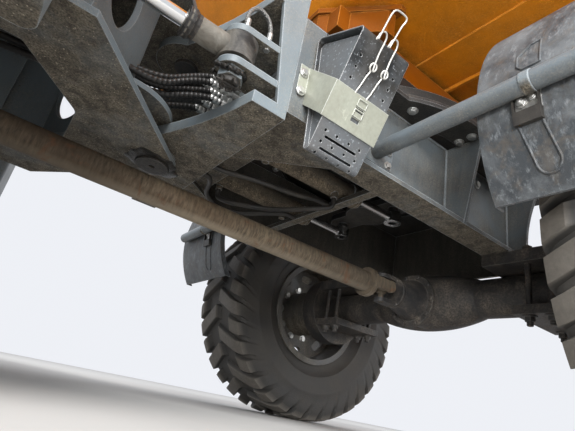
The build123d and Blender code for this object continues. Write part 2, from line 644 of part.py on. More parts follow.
def skip():
    """Folded floor sheet between two side plates, rim, ribs, floor doubler, hinge beams and ram lugs."""
    lip = FRONT_X + FRONT_OVERHANG
    back_top, lip_top = (FRONT_X - 1330, SKIP_FLOOR + 760), (lip, SKIP_FLOOR + 480)
    fold = FilletPolyline(back_top, (FRONT_X - 1300, SKIP_FLOOR + 360), (FRONT_X - 950, SKIP_FLOOR),
                          (HINGE_X, SKIP_FLOOR), (lip, SKIP_FLOOR + 400), lip_top, radius=FOLD_R)
    wall = SKIP_HALF - RIM_OUT
    body = side(sheet(fold, SKIP_WALL), -wall, wall)
    rake = (back_top[1] - lip_top[1]) / (lip_top[0] - back_top[0])
    body += block((FRONT_X - 580, FRONT_X - 420), (20 - wall, wall - 20), (SKIP_FLOOR - 6, SKIP_FLOOR + 1))
    body += block((FRONT_X - 420, FRONT_X - 408), (20 - wall, wall - 20), (SKIP_FLOOR - 18, SKIP_FLOOR + 1))
    for s in (1, -1):
        body += side(chain(fold, Line(lip_top, back_top)), *span(wall - SKIP_WALL, wall, s))
        low = [(x, z - RIM_DEEP) for x, z in (lip_top, back_top)]
        body += side([back_top, lip_top] + low, *span(wall - 1, SKIP_HALF, s))
        for x in (FRONT_X - 900, FRONT_X - 200, HINGE_X):
            top = back_top[1] - rake * (x - back_top[0]) - RIM_DEEP / 2
            body += block((x - 40, x + 40), span(wall - 1, SKIP_HALF - 4, s), (SKIP_FLOOR + 20, top))
        beam = side([(FRONT_X + 90, SKIP_FLOOR), (FRONT_X + 150, HINGE_Z - 5), (HINGE_X, HINGE_Z - 5),
                     (HINGE_X + 60, SKIP_FLOOR + 10)], *span(365, 435, s))
        beam += bar((HINGE_X, s * 365, HINGE_Z), (HINGE_X, s * 435, HINGE_Z), 45)
        body += beam - bar((HINGE_X, s * 360, HINGE_Z), (HINGE_X, s * 440, HINGE_Z), HINGE_PIN_R + PIN_GAP)
        for y in (RAM_Y - 52, RAM_Y + 40):
            body += block((RAM_EYE_X - 40, RAM_EYE_X + 40), span(y, y + 12, s), (RAM_EYE_Z - 30, SKIP_FLOOR + 1))
        for y in (RAM_Y - 52, RAM_Y + 29):
            body += bar((RAM_EYE_X, s * y, RAM_EYE_Z), (RAM_EYE_X, s * (y + 23), RAM_EYE_Z), 14)
    return body


# Engine half
def fork(low):
    """Fork plate: round tip at the pivot, straight flared edges that touch it, parallel arms behind."""
    length = (1 + FORK_SLOPE ** 2) ** 0.5
    x, y = PIVOT_X + FORK_TIP_R * FORK_SLOPE / length, FORK_TIP_R / length
    corner = x - (FORK_HALF - y) / FORK_SLOPE
    outline = chain(
        ThreePointArc((x, -y), (PIVOT_X + FORK_TIP_R, 0), (x, y)),
        Polyline((x, y), (corner, FORK_HALF), (FORK_BACK_X, FORK_HALF), (FORK_BACK_X, -FORK_HALF),
                 (corner, -FORK_HALF), (x, -y)))
    return flat(outline, low, low + FORK_T)


def fork_cutout():
    """Opening in the lower fork plate, widening backwards beside its edges."""
    nose, wide = 85, REAR_RAIL_Y - 16
    front = PIVOT_X - 228
    back = front - (wide - nose) / FORK_SLOPE
    shape = make_face(Polyline((front, -nose), (front, nose), (back, wide), (FORK_BACK_X - 5, wide),
                               (FORK_BACK_X - 5, -wide), (back, -wide), close=True))
    shape = fillet(shape.vertices().group_by(Axis.X)[-1], 42)
    return Pos(0, 0, FORK_Z - 5) * extrude(shape, FORK_T + 10)


def rear_frame():
    """Fork plates and webs of the steering pivot, rails, hoop outriggers and steering lugs."""
    keeper = chain(
        ThreePointArc((PIVOT_X - 150, -205), (PIVOT_X - 82, -191), (PIVOT_X - 10, -104)),
        ThreePointArc((PIVOT_X - 10, -104), (PIVOT_X + KEEPER_R, 0), (PIVOT_X - 10, 104)),
        ThreePointArc((PIVOT_X - 10, 104), (PIVOT_X - 82, 191), (PIVOT_X - 150, 205)),
        Line((PIVOT_X - 150, 205), (PIVOT_X - 150, -205)))
    frame = fork(FORK_Z) - fork_cutout() + fork(UPPER_FORK_Z) + flat(keeper, KEEPER_Z, KEEPER_Z + PLATE_T)
    frame += pin(PIVOT_X, 0, FORK_Z, TONGUE_Z - SWING_GAP, 56)
    top = FORK_Z + FORK_T
    web_end = PIVOT_X - 285
    for s in (1, -1):
        slant = flat([(PIVOT_X - 144, s * 163), (web_end, s * REAR_RAIL_OUT), (web_end, s * (REAR_RAIL_OUT - 14)),
                      (PIVOT_X - 155, s * 156)], top, UPPER_FORK_Z)
        oval = Plane(origin=(PIVOT_X, s * 268, RAIL_Z + 180), z_dir=(-1, 0, 0), x_dir=(0, 1, 0))
        frame += slant - oval * extrude(Ellipse(46, 98), 400)
        frame += block((REAR_RAIL_X - 40, web_end), span(REAR_RAIL_OUT - 12, REAR_RAIL_OUT, s), (top, UPPER_FORK_Z))
        web = span(REAR_RAIL_Y - 8, REAR_RAIL_Y + 8, s)
        frame += block((REAR_RAIL_X - 40, REAR_RAIL_X - 26), span(REAR_RAIL_Y, REAR_RAIL_OUT, s), (top, REAR_RAIL_TOP))
        frame += block((REAR_X - 700, REAR_RAIL_X), web, (REAR_RAIL_Z, REAR_RAIL_TOP))
        frame += block((FORK_BACK_X, REAR_RAIL_X), web, (top, REAR_RAIL_Z))
        frame += block((REAR_X - 700, REAR_RAIL_X), span(REAR_RAIL_Y, REAR_RAIL_OUT, s),
                       (REAR_RAIL_Z, REAR_RAIL_Z + PLATE_T))
        frame += block((HOOP_X - 70, HOOP_X + 70), span(REAR_RAIL_Y, HOOP_Y + 60, s), (HOOP_FOOT_Z - 40, HOOP_FOOT_Z))
        for low in (STEER_Z - EYE_H / 2 - SWING_GAP - LUG_T, STEER_Z + EYE_H / 2 + SWING_GAP):
            frame += block((STEER_BASE_X - 45, STEER_BASE_X + 45), span(REAR_RAIL_Y, STEER_Y, s), (low, low + LUG_T))
            frame += pin(STEER_BASE_X, s * STEER_Y, low, low + LUG_T, 45)
        frame += pin(STEER_BASE_X, s * STEER_Y, STEER_Z - 60, STEER_Z + 60, STEER_PIN_R)
    for x in (REAR_X - 220, REAR_X - 600):
        frame += block((x, x + PLATE_T), (-REAR_RAIL_Y, REAR_RAIL_Y), (REAR_RAIL_Z + 30, REAR_RAIL_Z + 90))
    return frame - pin(PIVOT_X, 0, FORK_Z - 5, UPPER_FORK_Z + FORK_T + 5, PIVOT_PIN_R + PIN_GAP)


def pivot_pins():
    """Lower and upper pivot pins, each with a flanged head."""
    low_top, high_low = KEEPER_Z + PLATE_T + 8, UPPER_TONGUE_Z - 12
    low = pin(PIVOT_X, 0, FORK_Z - 10, low_top, PIVOT_PIN_R) + pin(PIVOT_X, 0, FORK_Z - 10, FORK_Z - SEAT_GAP, 46)
    low -= pin(PIVOT_X, 0, FORK_Z - 11, FORK_Z + 20, 9)
    top = UPPER_FORK_Z + FORK_T
    high = pin(PIVOT_X, 0, high_low, top + 8, PIVOT_PIN_R) + pin(PIVOT_X, 0, top + SEAT_GAP, top + 8, 52)
    return low + high


def engine():
    """Engine, bell housing and gearbox as plain blocks."""
    floor = REAR_RAIL_Z + 100
    motor = block((REAR_X - 600, REAR_X + 60), (-240, 240), (floor, floor + 460))
    gearbox = block((REAR_X + 225 + SEAT_GAP, JOINT_REAR_X - 75 - SEAT_GAP), (-190, 190), (SHAFT_Z - 83, floor + 130))
    return motor + gearbox + block((REAR_X + 50, REAR_X + 235), (-150, 150), (floor + 10, floor + 130))


def tank(s):
    """Side tank with rounded corners, two step pockets and a filler cap."""
    x, y = PLATFORM_X - 100, (HOOP_Y - 50 + TRACK / 2 + 65) / 2
    wide = TRACK / 2 + 65 - (HOOP_Y - 50)
    low, high = FORK_Z - 100, PLATFORM_Z - SEAT_GAP
    shell = Pos(x, s * y, low) * extrude(RectangleRounded(200, wide, 30), high - low)
    outer = s * (y + wide / 2)
    for z in (low + 60, low + 280):
        shell -= Pos(x, outer, z + 70) * Box(130, 180, 140)
    return shell + pin(x, s * (y + wide / 2 - 130), high - 1, high + 30, 38)


def platform():
    """Tread plate from the engine cover to the fork, with a turned-up front edge and two grab rails."""
    half = GUARD_IN - SEAT_GAP
    plate = block((REAR_X + 202, PLATFORM_X), (-half, half), (PLATFORM_Z, PLATFORM_Z + PLATFORM_T))
    plate += block((PLATFORM_X - 8, PLATFORM_X), (-half, half), (PLATFORM_Z, PLATFORM_Z + 40))

    def rail(s):
        y, low, high = s * (half - 45), PLATFORM_Z + PLATFORM_T - 1, PLATFORM_Z + 440
        x0, x1 = CONSOLE_X - 120, CONSOLE_X + 20
        path = FilletPolyline((x0, y, low), (x0, y, high), (x1, y, high), (x1, y, low), radius=55)
        return sweep(Plane(origin=(x0, y, low), z_dir=(0, 0, 1)) * Circle(15), path)
    return plate + both(rail)


def console():
    """Dashboard housing with a slanted, rounded top, two pedals and the skip's control lever."""
    low = PLATFORM_Z + PLATFORM_T + SEAT_GAP
    top = PLATFORM_Z + 480
    face = make_face(Polyline((0, low), (-150, low), (-180, top - 60), (-60, top + 20), (0, top + 10), close=True))
    face = fillet(face.vertices().group_by(Axis.Y)[-1] + face.vertices().sort_by(Axis.X)[:1], 9)
    plane = Plane(origin=(CONSOLE_X, 300, 0), x_dir=(1, 0, 0), z_dir=(0, -1, 0))
    housing = plane * extrude(face, 600)
    for y in (-120, 120):
        housing += bar((CONSOLE_X - 140, y, low + 70), (CONSOLE_X - 228, y, low + 47), 8)
        housing += Pos(CONSOLE_X - 225, y, low + 45) * Rot(0, -60, 0) * extrude(RectangleRounded(90, 70, 12), 10)
    grip = (CONSOLE_X - 125, -245, top + 150)
    return housing + bar((CONSOLE_X - 90, -240, top - 30), grip, 7) + Pos(*grip) * Sphere(20)


def steering_wheel():
    """Wheel with three spokes on a slanted column that stands off the console's face."""
    slope = Plane(origin=(CONSOLE_X - 120, 0, PLATFORM_Z + 460), x_dir=(120, 0, 80), z_dir=(-80, 0, 120))
    wheel = Torus(180, 14) + Cylinder(40, 30)
    for spoke in PolarLocations(0, 3):
        wheel += spoke * Pos(100, 0, 0) * Box(150, 26, 9)
    return slope * (Pos(0, 0, 75 + SEAT_GAP) * Cylinder(18, 150) + Pos(0, 0, 150) * wheel)


def seat():
    """Seat box, cushion and curved backrest."""
    low = COVER_TOP + SEAT_GAP
    base = block((SEAT_X + 30, SEAT_X + 420), (-200, 200), (low, low + 40))
    pan = Pos(SEAT_X + 230, 0, low + 40) * extrude(RectangleRounded(420, 500, 60), 110)
    back = chain(Polyline((SEAT_X + 110, low + 140), (SEAT_X + 20, low + 140)),
                 ThreePointArc((SEAT_X + 20, low + 140), (SEAT_X - 28, low + 360), (SEAT_X - 40, low + 580)),
                 Line((SEAT_X - 40, low + 580), (SEAT_X + 30, low + 600)),
                 ThreePointArc((SEAT_X + 30, low + 600), (SEAT_X + 58, low + 360), (SEAT_X + 110, low + 140)))
    return base + pan + side(back, -240, 240)


def rops_hoop():
    """Roll hoop bent from square tube, on two foot plates."""
    low, top = HOOP_FOOT_Z + SEAT_GAP, HOOP_FOOT_Z + HOOP_H - HOOP_W / 2
    path = FilletPolyline((HOOP_X, -HOOP_Y, low), (HOOP_X, -HOOP_Y, top), (HOOP_X, HOOP_Y, top),
                          (HOOP_X, HOOP_Y, low), radius=140)
    seat_plane = Plane(origin=(HOOP_X, -HOOP_Y, low), x_dir=(1, 0, 0), z_dir=(0, 0, 1))
    hoop = sweep(seat_plane * RectangleRounded(HOOP_W, HOOP_W, 12), path)
    return hoop + both(lambda s: block((HOOP_X - 65, HOOP_X + 65), span(HOOP_Y - 55, HOOP_Y + 55, s), (low, low + 14)))


def lid(x0, x1, half, low, high, corner, wall):
    """Hollow cover with rounded upright corners, open below."""
    x, w = (x0 + x1) / 2, x1 - x0
    shell = Pos(x, 0, low) * extrude(RectangleRounded(w, 2 * half, corner), high - low)
    return shell - Pos(x, 0, low - 5) * extrude(
        RectangleRounded(w - 2 * wall, 2 * (half - wall), corner - wall), high - low + 5 - wall)


def engine_cover():
    """Cover beside and over the engine with cooling slots, and the bonnet's hinge pins."""
    x0, x1 = REAR_X - 780, REAR_X + 200
    shell = lid(x0, x1, 430, COVER_LOW, COVER_TOP, 30, 8)
    slot = Rot(90, 0, 0) * extrude(SlotOverall(170, 16), 450, both=True)
    for x in (REAR_X - 560, REAR_X - 340):
        for row in range(5):
            shell -= Pos(x, 0, COVER_LOW + 60 + 34 * row) * slot
    for s in (1, -1):
        shell += block((LID_X - 12, x0 + 1), span(300, 308, s), (LID_Z - 40, COVER_TOP - 2))
        shell += block((LID_X - 12, LID_X + 12), span(300, 308, s), (COVER_TOP - 4, LID_Z))
        shell += bar((LID_X, s * 300, LID_Z), (LID_X, s * 308, LID_Z), 12)
        shell += bar((LID_X, s * 300, LID_Z), (LID_X, s * 340, LID_Z), LID_PIN_R)
    return shell


def bonnet():
    """Hinged bonnet with cooling slots in its sides."""
    x0, x1 = REAR_X - 780, HOOP_X - 50
    shell = lid(x0, x1, 420, LID_Z, LID_Z + BONNET_H, 30, 8)
    slot = Rot(90, 0, 0) * extrude(SlotOverall((x1 - x0) * 0.6, 14), 450, both=True)
    for row in range(4):
        shell -= Pos((x0 + x1) / 2, 0, LID_Z + 60 + 32 * row) * slot
    for s in (1, -1):
        knuckle = bar((LID_X, s * (308 + SEAT_GAP), LID_Z), (LID_X, s * 338, LID_Z), 13)
        knuckle += block((LID_X, x0 + 1), span(308 + SEAT_GAP, 338, s), (LID_Z + 4, LID_Z + 13))
        shell += knuckle - bar((LID_X, s * 300, LID_Z), (LID_X, s * 345, LID_Z), LID_PIN_R + PIN_GAP)
    return shell


def counterweight():
    """Cast weight across the back with rounded corners and an open tow jaw."""
    x0 = REAR_X - REAR_OVERHANG
    deep = 150 - SEAT_GAP
    shape = Rectangle(2 * deep, 1120)
    shape = fillet(shape.vertices(), 90)
    body = Pos(x0 + deep, 0, TOW_Z - 60) * extrude(shape, COVER_LOW - SEAT_GAP - TOW_Z + 60)
    body &= block((x0 - 1, x0 + deep), (-600, 600), (TOW_Z - 80, COVER_LOW))
    for low, high in ((TOW_Z, TOW_Z + 80), (TOW_Z + 140, COVER_LOW + 10)):
        body -= block((x0 - 1, x0 + 95), (-70, 70), (low, high))
    return body - pin(x0 + 45, 0, TOW_Z - 70, TOW_Z + 150, TOW_R)


def rear_mudguards():
    """Bent-sheet mudguards with an inner valance."""
    base = AXLE_Z + TYRE_R - 350
    path = FilletPolyline((REAR_X + 600, base), (REAR_X + 600, base + 240), (REAR_X + 430, base + 405),
                          (REAR_X - 430, base + 405), (REAR_X - 620, base + 230), radius=110)
    arch = [(REAR_X + 594, base + 240), (REAR_X + 427, base + 398), (REAR_X - 427, base + 398), (REAR_X - 560, base + 276),
            (REAR_X - 520, base + 240), (REAR_X - 400, base + 350), (REAR_X + 400, base + 350), (REAR_X + 530, base + 240)]

    def one(s):
        guard = side(sheet(path, GUARD_T), *span(GUARD_IN, TRACK / 2 + TYRE_W / 2, s))
        return guard + side(arch, *span(GUARD_IN, GUARD_IN + GUARD_T, s))
    return both(one)


def lamps(x, y, z):
    """Round lamps, dished at the back and bezelled at the front."""
    bowl = spin([(0, 0), (34, 0), (54, 36), (60, 40), (60, 60), (52, 60), (44, 54), (0, 58)])
    return both(lambda s: Plane(origin=(x, s * y, z), z_dir=(1, 0, 0)) * bowl)


def propshaft_tube():
    """Tube from the front joint into the sleeve behind, where it slides as the machine steers."""
    end = JOINT_REAR_X + FORK_LEN + SLEEVE_LEN - SLIP_IN
    return spider(JOINT_FRONT_X, -1) + bar((JOINT_FRONT_X - FORK_LEN, 0, SHAFT_Z), (end, 0, SHAFT_Z), SHAFT_R)


def propshaft_yoke():
    x = JOINT_REAR_X + FORK_LEN
    sleeve = bar((x, 0, SHAFT_Z), (x + SLEEVE_LEN, 0, SHAFT_Z), SHAFT_R + 10)
    well = bar((x + 6, 0, SHAFT_Z), (x + SLEEVE_LEN + 5, 0, SHAFT_Z), SHAFT_R + SLIP_GAP)
    return spider(JOINT_REAR_X, 1) + sleeve - well


save("front_rails", front_rails())
save("front_deck", front_deck())
save("front_crossmembers", front_crossmembers())
save("pivot_bracket", pivot_bracket())
save("front_axle", axle(FRONT_X, -1) + yoke(JOINT_FRONT_X, 1))
save("front_axle_clamps", axle_clamps(FRONT_X, RAIL_Z, FLANGE_IN, 455))
save("rear_axle_clamps", axle_clamps(REAR_X, REAR_RAIL_Z, REAR_RAIL_Y, 375))
save("slew_ring", slew_ring())
save("slew_barrels", slew_barrels())
save("front_hoses", front_hoses())
save("mudguard_tubes", mudguard_tubes())
save("front_mudguards", front_mudguards())
save("chock_holder", chock_holder())
save("wheel_chock", wheel_chock())
save("turntable", turntable())
save("skip_arms", skip_arms())
save("slew_rod_left", slew_rod(1))
save("slew_rod_right", slew_rod(-1))
save("tip_barrels", tip_barrels())
save("tip_rods", tip_rods())
save("skip", skip())
save("rear_frame", rear_frame())
save("pivot_pins", pivot_pins())
save("rear_axle", axle(REAR_X, 1))
save("engine", engine() + yoke(JOINT_REAR_X, -1))
save("fuel_tank", tank(-1))
save("hydraulic_tank", tank(1))
save("platform", platform())
save("console", console())
save("steering_wheel", steering_wheel())
save("seat", seat())
save("rops_hoop", rops_hoop())
save("engine_cover", engine_cover())
save("counterweight", counterweight())
save("rear_mudguards", rear_mudguards())
save("headlamps", lamps(CONSOLE_X - 80, 360 + SEAT_GAP, PLATFORM_Z + 330))
save("tail_lamps", lamps(REAR_X - REAR_OVERHANG + 20, 500, COVER_LOW + 60))
save("bonnet", bonnet())
save("propshaft_tube", propshaft_tube())
save("propshaft_yoke", propshaft_yoke())
for name, s in (("left", 1), ("right", -1)):
    save(f"steer_barrel_{name}", steer_barrel(s))
    save(f"steer_rod_{name}", steer_rod(s))
    tread = tyre(s)
    for end, x in (("front", FRONT_X), ("rear", REAR_X)):
        plane = wheel_plane(x, s)
        save(f"tyre_{end}_{name}", plane * tread)
        save(f"rim_{end}_{name}", plane * rim())
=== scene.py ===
"""Looks of the swivel-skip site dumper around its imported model. Metres, +X forward, +Y left, +Z up."""
import json
import math

import bmesh
import bpy
import numpy as np
from mathutils import Matrix, Vector


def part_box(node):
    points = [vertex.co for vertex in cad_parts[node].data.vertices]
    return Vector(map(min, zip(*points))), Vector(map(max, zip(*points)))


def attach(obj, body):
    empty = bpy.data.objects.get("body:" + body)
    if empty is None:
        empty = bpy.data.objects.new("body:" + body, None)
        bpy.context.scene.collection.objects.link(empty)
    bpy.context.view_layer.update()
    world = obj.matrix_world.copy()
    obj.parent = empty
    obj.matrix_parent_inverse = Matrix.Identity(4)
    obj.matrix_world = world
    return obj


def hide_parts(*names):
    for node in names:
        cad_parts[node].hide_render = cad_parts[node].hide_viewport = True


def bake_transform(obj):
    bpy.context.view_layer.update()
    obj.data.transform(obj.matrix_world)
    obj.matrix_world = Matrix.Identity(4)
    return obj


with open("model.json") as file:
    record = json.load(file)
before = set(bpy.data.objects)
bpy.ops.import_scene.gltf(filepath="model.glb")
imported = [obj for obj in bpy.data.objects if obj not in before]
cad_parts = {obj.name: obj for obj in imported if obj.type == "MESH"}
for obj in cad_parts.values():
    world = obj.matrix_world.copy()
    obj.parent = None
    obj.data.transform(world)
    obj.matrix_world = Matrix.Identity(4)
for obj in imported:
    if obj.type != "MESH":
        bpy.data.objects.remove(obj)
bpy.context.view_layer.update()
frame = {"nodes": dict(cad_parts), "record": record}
NODES = frame["nodes"]


def middle(node):
    """Middle of a node's box at rest."""
    low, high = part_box(node)
    return (low + high) / 2


# Places that come from the frame
FRONT_X = middle("rim_front_right").x
REAR_X = middle("rim_rear_right").x
AXLE_Z = middle("rim_front_right").z
WHEEL_Y = middle("tyre_front_left").y
TYRE_R = (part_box("tyre_front_left")[1].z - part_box("tyre_front_left")[0].z) / 2
PIVOT_X = middle("pivot_pins").x
RAIL_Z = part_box("front_rails")[0].z
DECK_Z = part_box("front_deck")[0].z
RING_X = middle("slew_ring").x
HOOP_X = middle("rops_hoop").x
COVER_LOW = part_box("engine_cover")[0].z
PLATFORM_Z = COVER_LOW - 0.032

# Places that several pieces share, with x counted from the front axle
STEER_PIN_X, STEER_PIN_Y = -1.235, 0.375
TUBE_X, TUBE_Z = -0.740, RAIL_Z + 0.110
RAIL_WEB_Y = 0.336
RAIL_FLANGE_TOP = RAIL_Z + 0.014

SIDES = (("left", 1), ("right", -1))
AHEAD, BACK, DOWN, UP = (1, 0, 0), (-1, 0, 0), (0, 0, -1), (0, 0, 1)

# Camera: worked out from the photograph, behind and right of the front axle, near the ground
CAMERA_AT = Vector((FRONT_X - 1.500, -1.144, 0.050))
CAMERA_YAW = math.radians(57.76)      # from +X towards +Y
CAMERA_PITCH = math.radians(23.31)
CAMERA_ROLL = math.radians(11.16)
PHOTO_WIDTH_PX = 575
FOCAL_PX = 436.8
SENSOR_MM = 36.0


def add_camera():
    """The photograph's view, looking up from the ground at the machine's right side."""
    yaw, pitch, roll = CAMERA_YAW, CAMERA_PITCH, CAMERA_ROLL
    ahead = Vector((math.cos(pitch) * math.cos(yaw), math.cos(pitch) * math.sin(yaw), math.sin(pitch)))
    level = Vector((math.sin(yaw), -math.cos(yaw), 0))
    above = level.cross(ahead)
    right = math.cos(roll) * level + math.sin(roll) * above
    up = -math.sin(roll) * level + math.cos(roll) * above
    data = bpy.data.cameras.new("photo_camera")
    data.sensor_width = SENSOR_MM
    data.lens = SENSOR_MM * FOCAL_PX / PHOTO_WIDTH_PX
    data.clip_start = 0.02
    data.clip_end = 200
    camera = bpy.data.objects.new("photo_camera", data)
    bpy.context.scene.collection.objects.link(camera)
    turn = Matrix((right, up, -ahead)).transposed()
    camera.matrix_world = Matrix.Translation(CAMERA_AT) @ turn.to_4x4()
    bpy.context.scene.camera = camera


# Materials
class Finish:
    """A material under construction: short calls that add and join shader nodes."""

    def __init__(self, name):
        """An empty material of the name."""
        self.material = bpy.data.materials.new(name)
        self.material.use_nodes = True
        self.tree = self.material.node_tree
        self.shader = self.tree.nodes["Principled BSDF"]
        self.place = self.node("TexCoord")
        self.rounded = None

    def node(self, kind, **sockets):
        """A shader node, with its sockets set or joined."""
        node = self.tree.nodes.new("ShaderNode" + kind)
        for name, source in sockets.items():
            self.join(source, node.inputs[name])
        return node

    def join(self, source, target):
        """A socket set to a number, a colour or a direction, or linked to another node's output."""
        if isinstance(source, (int, float)):
            target.default_value = source
        elif isinstance(source, (tuple, list)):
            target.default_value = (*source, 1.0)[:len(target.default_value)]
        else:
            self.tree.links.new(source, target)

    def spread(self, stretch=(1, 1, 1), turn=(0, 0, 0)):
        """Places on the piece, stretched along its axes and turned about them."""
        mapping = self.node("Mapping", Vector=self.place.outputs["Object"], Scale=stretch, Rotation=turn)
        return mapping.outputs["Vector"]

    def noise(self, scale, detail=4.0, rough=0.55, stretch=(1, 1, 1), warp=0.0, turn=(0, 0, 0)):
        """Cloudy pattern, 0 to 1, of scale lumps a metre along each axis times stretch."""
        node = self.node("TexNoise", Vector=self.spread(stretch, turn), Scale=scale, Detail=detail,
                         Roughness=rough, Distortion=warp)
        return node.outputs["Fac"]

    def waves(self, scale, direction="X", turn=(0, 0, 0)):
        """Soft parallel bands, 0 to 1, across one axis of the turned piece."""
        node = self.node("TexWave", Vector=self.spread(turn=turn), Scale=scale)
        node.bands_direction = direction
        return node.outputs["Fac"]

    def cells(self, scale):
        """Distance from the nearest of a random scatter of scale points a metre."""
        return self.node("TexVoronoi", Vector=self.place.outputs["Object"], Scale=scale).outputs["Distance"]

    def specks(self, scale, size):
        """Round spots in a random scatter of scale cells a metre: 1 inside a spot, 0 outside."""
        return self.ramp(self.cells(scale), size, 0.6 * size)

    def ramp(self, value, low, high, start=0.0, end=1.0):
        """value brought from low..high to start..end, held at both ends."""
        node = self.node("MapRange")
        node.clamp = True
        for index, source in enumerate((value, low, high, start, end)):
            self.join(source, node.inputs[index])
        return node.outputs["Result"]

    def math(self, how, first, second=0.0):
        """What an operation makes of one or two numbers, held between 0 and 1."""
        node = self.node("Math")
        node.operation = how
        node.use_clamp = True
        self.join(first, node.inputs[0])
        self.join(second, node.inputs[1])
        return node.outputs["Value"]

    def sum(self, first, second):
        """Both shares together, at most 1."""
        return self.math("ADD", first, second)

    def larger(self, first, second):
        """The larger of two shares."""
        return self.math("MAXIMUM", first, second)

    def times(self, *values):
        """Product of shares."""
        product = values[0]
        for value in values[1:]:
            product = self.math("MULTIPLY", product, value)
        return product

    def blend(self, share, first, second):
        """Colour first where share is 0 and second where it is 1."""
        node = self.node("Mix")
        node.data_type = "RGBA"
        self.join(share, node.inputs["Factor"])
        self.join(first, node.inputs["A"])
        self.join(second, node.inputs["B"])
        return node.outputs["Result"]

    def facing(self, axis):
        """How far a face of the piece looks along one of its axes, -1 to 1."""
        return self.node("SeparateXYZ", Vector=self.place.outputs["Normal"]).outputs[axis]

    def along(self, axis):
        """Place along one of the axes, in metres."""
        return self.node("SeparateXYZ", Vector=self.place.outputs["Object"]).outputs[axis]

    def attribute(self, name):
        """A number that the piece carries at each point."""
        node = self.node("Attribute")
        node.attribute_name = name
        return node.outputs["Fac"]

    def shelter(self, reach):
        """1 in corners and under overhangs of the piece within reach, 0 in the open."""
        node = self.node("AmbientOcclusion", Distance=reach)
        node.samples = 4
        return self.ramp(node.outputs["AO"], 0.85, 0.35)

    def edges(self, radius=0.0045):
        """1 along outer edges, from the angle between the true normal and one rounded over radius."""
        bevel = self.node("Bevel", Radius=radius)
        bevel.samples = 4
        self.rounded = bevel.outputs["Normal"]
        dot = self.node("VectorMath")
        dot.operation = "DOT_PRODUCT"
        self.join(self.rounded, dot.inputs[0])
        self.join(self.node("NewGeometry").outputs["Normal"], dot.inputs[1])
        return self.ramp(dot.outputs["Value"], 0.97, 0.82)

    def finish(self, colour, rough, metal=0.0, bump=None, bump_depth=0.001, **sockets):
        """The material: its colour, roughness, metal share, bumps of a depth in metres and other sockets."""
        self.join(colour, self.shader.inputs["Base Color"])
        self.join(rough, self.shader.inputs["Roughness"])
        self.join(metal, self.shader.inputs["Metallic"])
        normal = self.rounded
        if bump is not None:
            node = self.node("Bump", Distance=bump_depth, Strength=1.0, Height=bump)
            if normal is not None:
                self.join(normal, node.inputs["Normal"])
            normal = node.outputs["Normal"]
        if normal is not None:
            self.join(normal, self.shader.inputs["Normal"])
        for socket, value in sockets.items():
            self.join(value, self.shader.inputs[socket.replace("_", " ")])
        return self.material


def shade(colour, factor):
    """The colour times a factor, at most 1 in each channel."""
    return tuple(min(1.0, factor * c) for c in colour)


def dusty_paint(name, colour, dust=(0.185, 0.160, 0.122), under=1.0, all_over=0.25, rough=0.42,
                chips=(0.10, 0.085, 0.07), edge=(0.54, 0.59, 0.62), inside=None, gloss=0.5):
    """Sprayed paint: dust in clouds, thick where faces look down and in corners (darker there as painted
    shade), light edges of wear and painted highlight, small chips, and a dark film of road dirt and painted
    shade on down-facing faces nearer than inside to the machine's middle."""
    f = Finish(name)
    tone = f.blend(f.noise(3.0, 6), shade(colour, 0.82), shade(colour, 1.12))
    painted = f.blend(f.ramp(f.noise(38.0, 8, 0.7), 0.67, 0.70), tone, chips)
    cloud = f.ramp(f.noise(7.0, 8, 0.65, warp=0.4), 0.36, 0.66)
    grains = f.times(f.ramp(f.noise(330.0, 3, 0.7), 0.54, 0.64), f.ramp(cloud, 0, 1, 0.10, 0.55))
    painted = f.blend(grains, painted, shade(dust, 1.7))
    down = f.ramp(f.facing("Z"), -0.25, -0.8, 0.0, under)
    # Dust gathers in corners and under overhangs and darkens them: painted shade as well as dirt.
    corner_dust_and_shade = f.times(f.shelter(0.06), f.ramp(f.noise(18.0, 6), 0.3, 0.6, 0.25, 0.9))
    dust_and_shade_film = f.sum(f.times(cloud, all_over), f.times(down, f.ramp(cloud, 0, 1, 0.72, 1.0)))
    dust_and_shade_film = f.larger(dust_and_shade_film, corner_dust_and_shade)
    speckle = f.ramp(f.noise(230.0, 4, 0.65), 0.36, 0.64)
    streak = f.noise(30.0, 7, 0.7, stretch=(1, 1, 0.2), warp=0.5)
    mud_and_shade = f.blend(speckle, shade(dust, 0.40), shade(dust, 1.6))
    mud_and_shade = f.blend(f.ramp(streak, 0.38, 0.62, 0.0, 0.75), mud_and_shade, shade(dust, 0.22))
    mud_and_shade = f.blend(f.specks(95.0, 0.16), mud_and_shade, shade(dust, 2.2))
    # Faces that look down near the machine's middle, between the rails: a dark film of road dirt with painted
    # shade.
    if inside is not None:
        near = f.ramp(f.math("ABSOLUTE", f.along("Y")), inside, inside - 0.002)
        dirt_and_shade_inside = f.times(near, f.ramp(f.facing("Z"), -0.9, -0.5))
        dust_and_shade_film = f.larger(dust_and_shade_film, f.times(dirt_and_shade_inside, 0.92))
        mud_and_shade = f.blend(f.times(dirt_and_shade_inside, 0.75), mud_and_shade, shade(dust, 0.20))
    # Light edges: paint worn through, with a painted highlight along the edges.
    wear_and_highlight = f.times(f.edges(), f.ramp(f.noise(24.0, 6), 0.30, 0.55, 0.25, 0.95))
    look = f.blend(wear_and_highlight, f.blend(dust_and_shade_film, painted, mud_and_shade), edge)
    return f.finish(look, f.ramp(dust_and_shade_film, 0, 1, rough, 0.92), bump=f.times(speckle, dust_and_shade_film), bump_depth=0.0014,
                    Specular_IOR_Level=gloss)


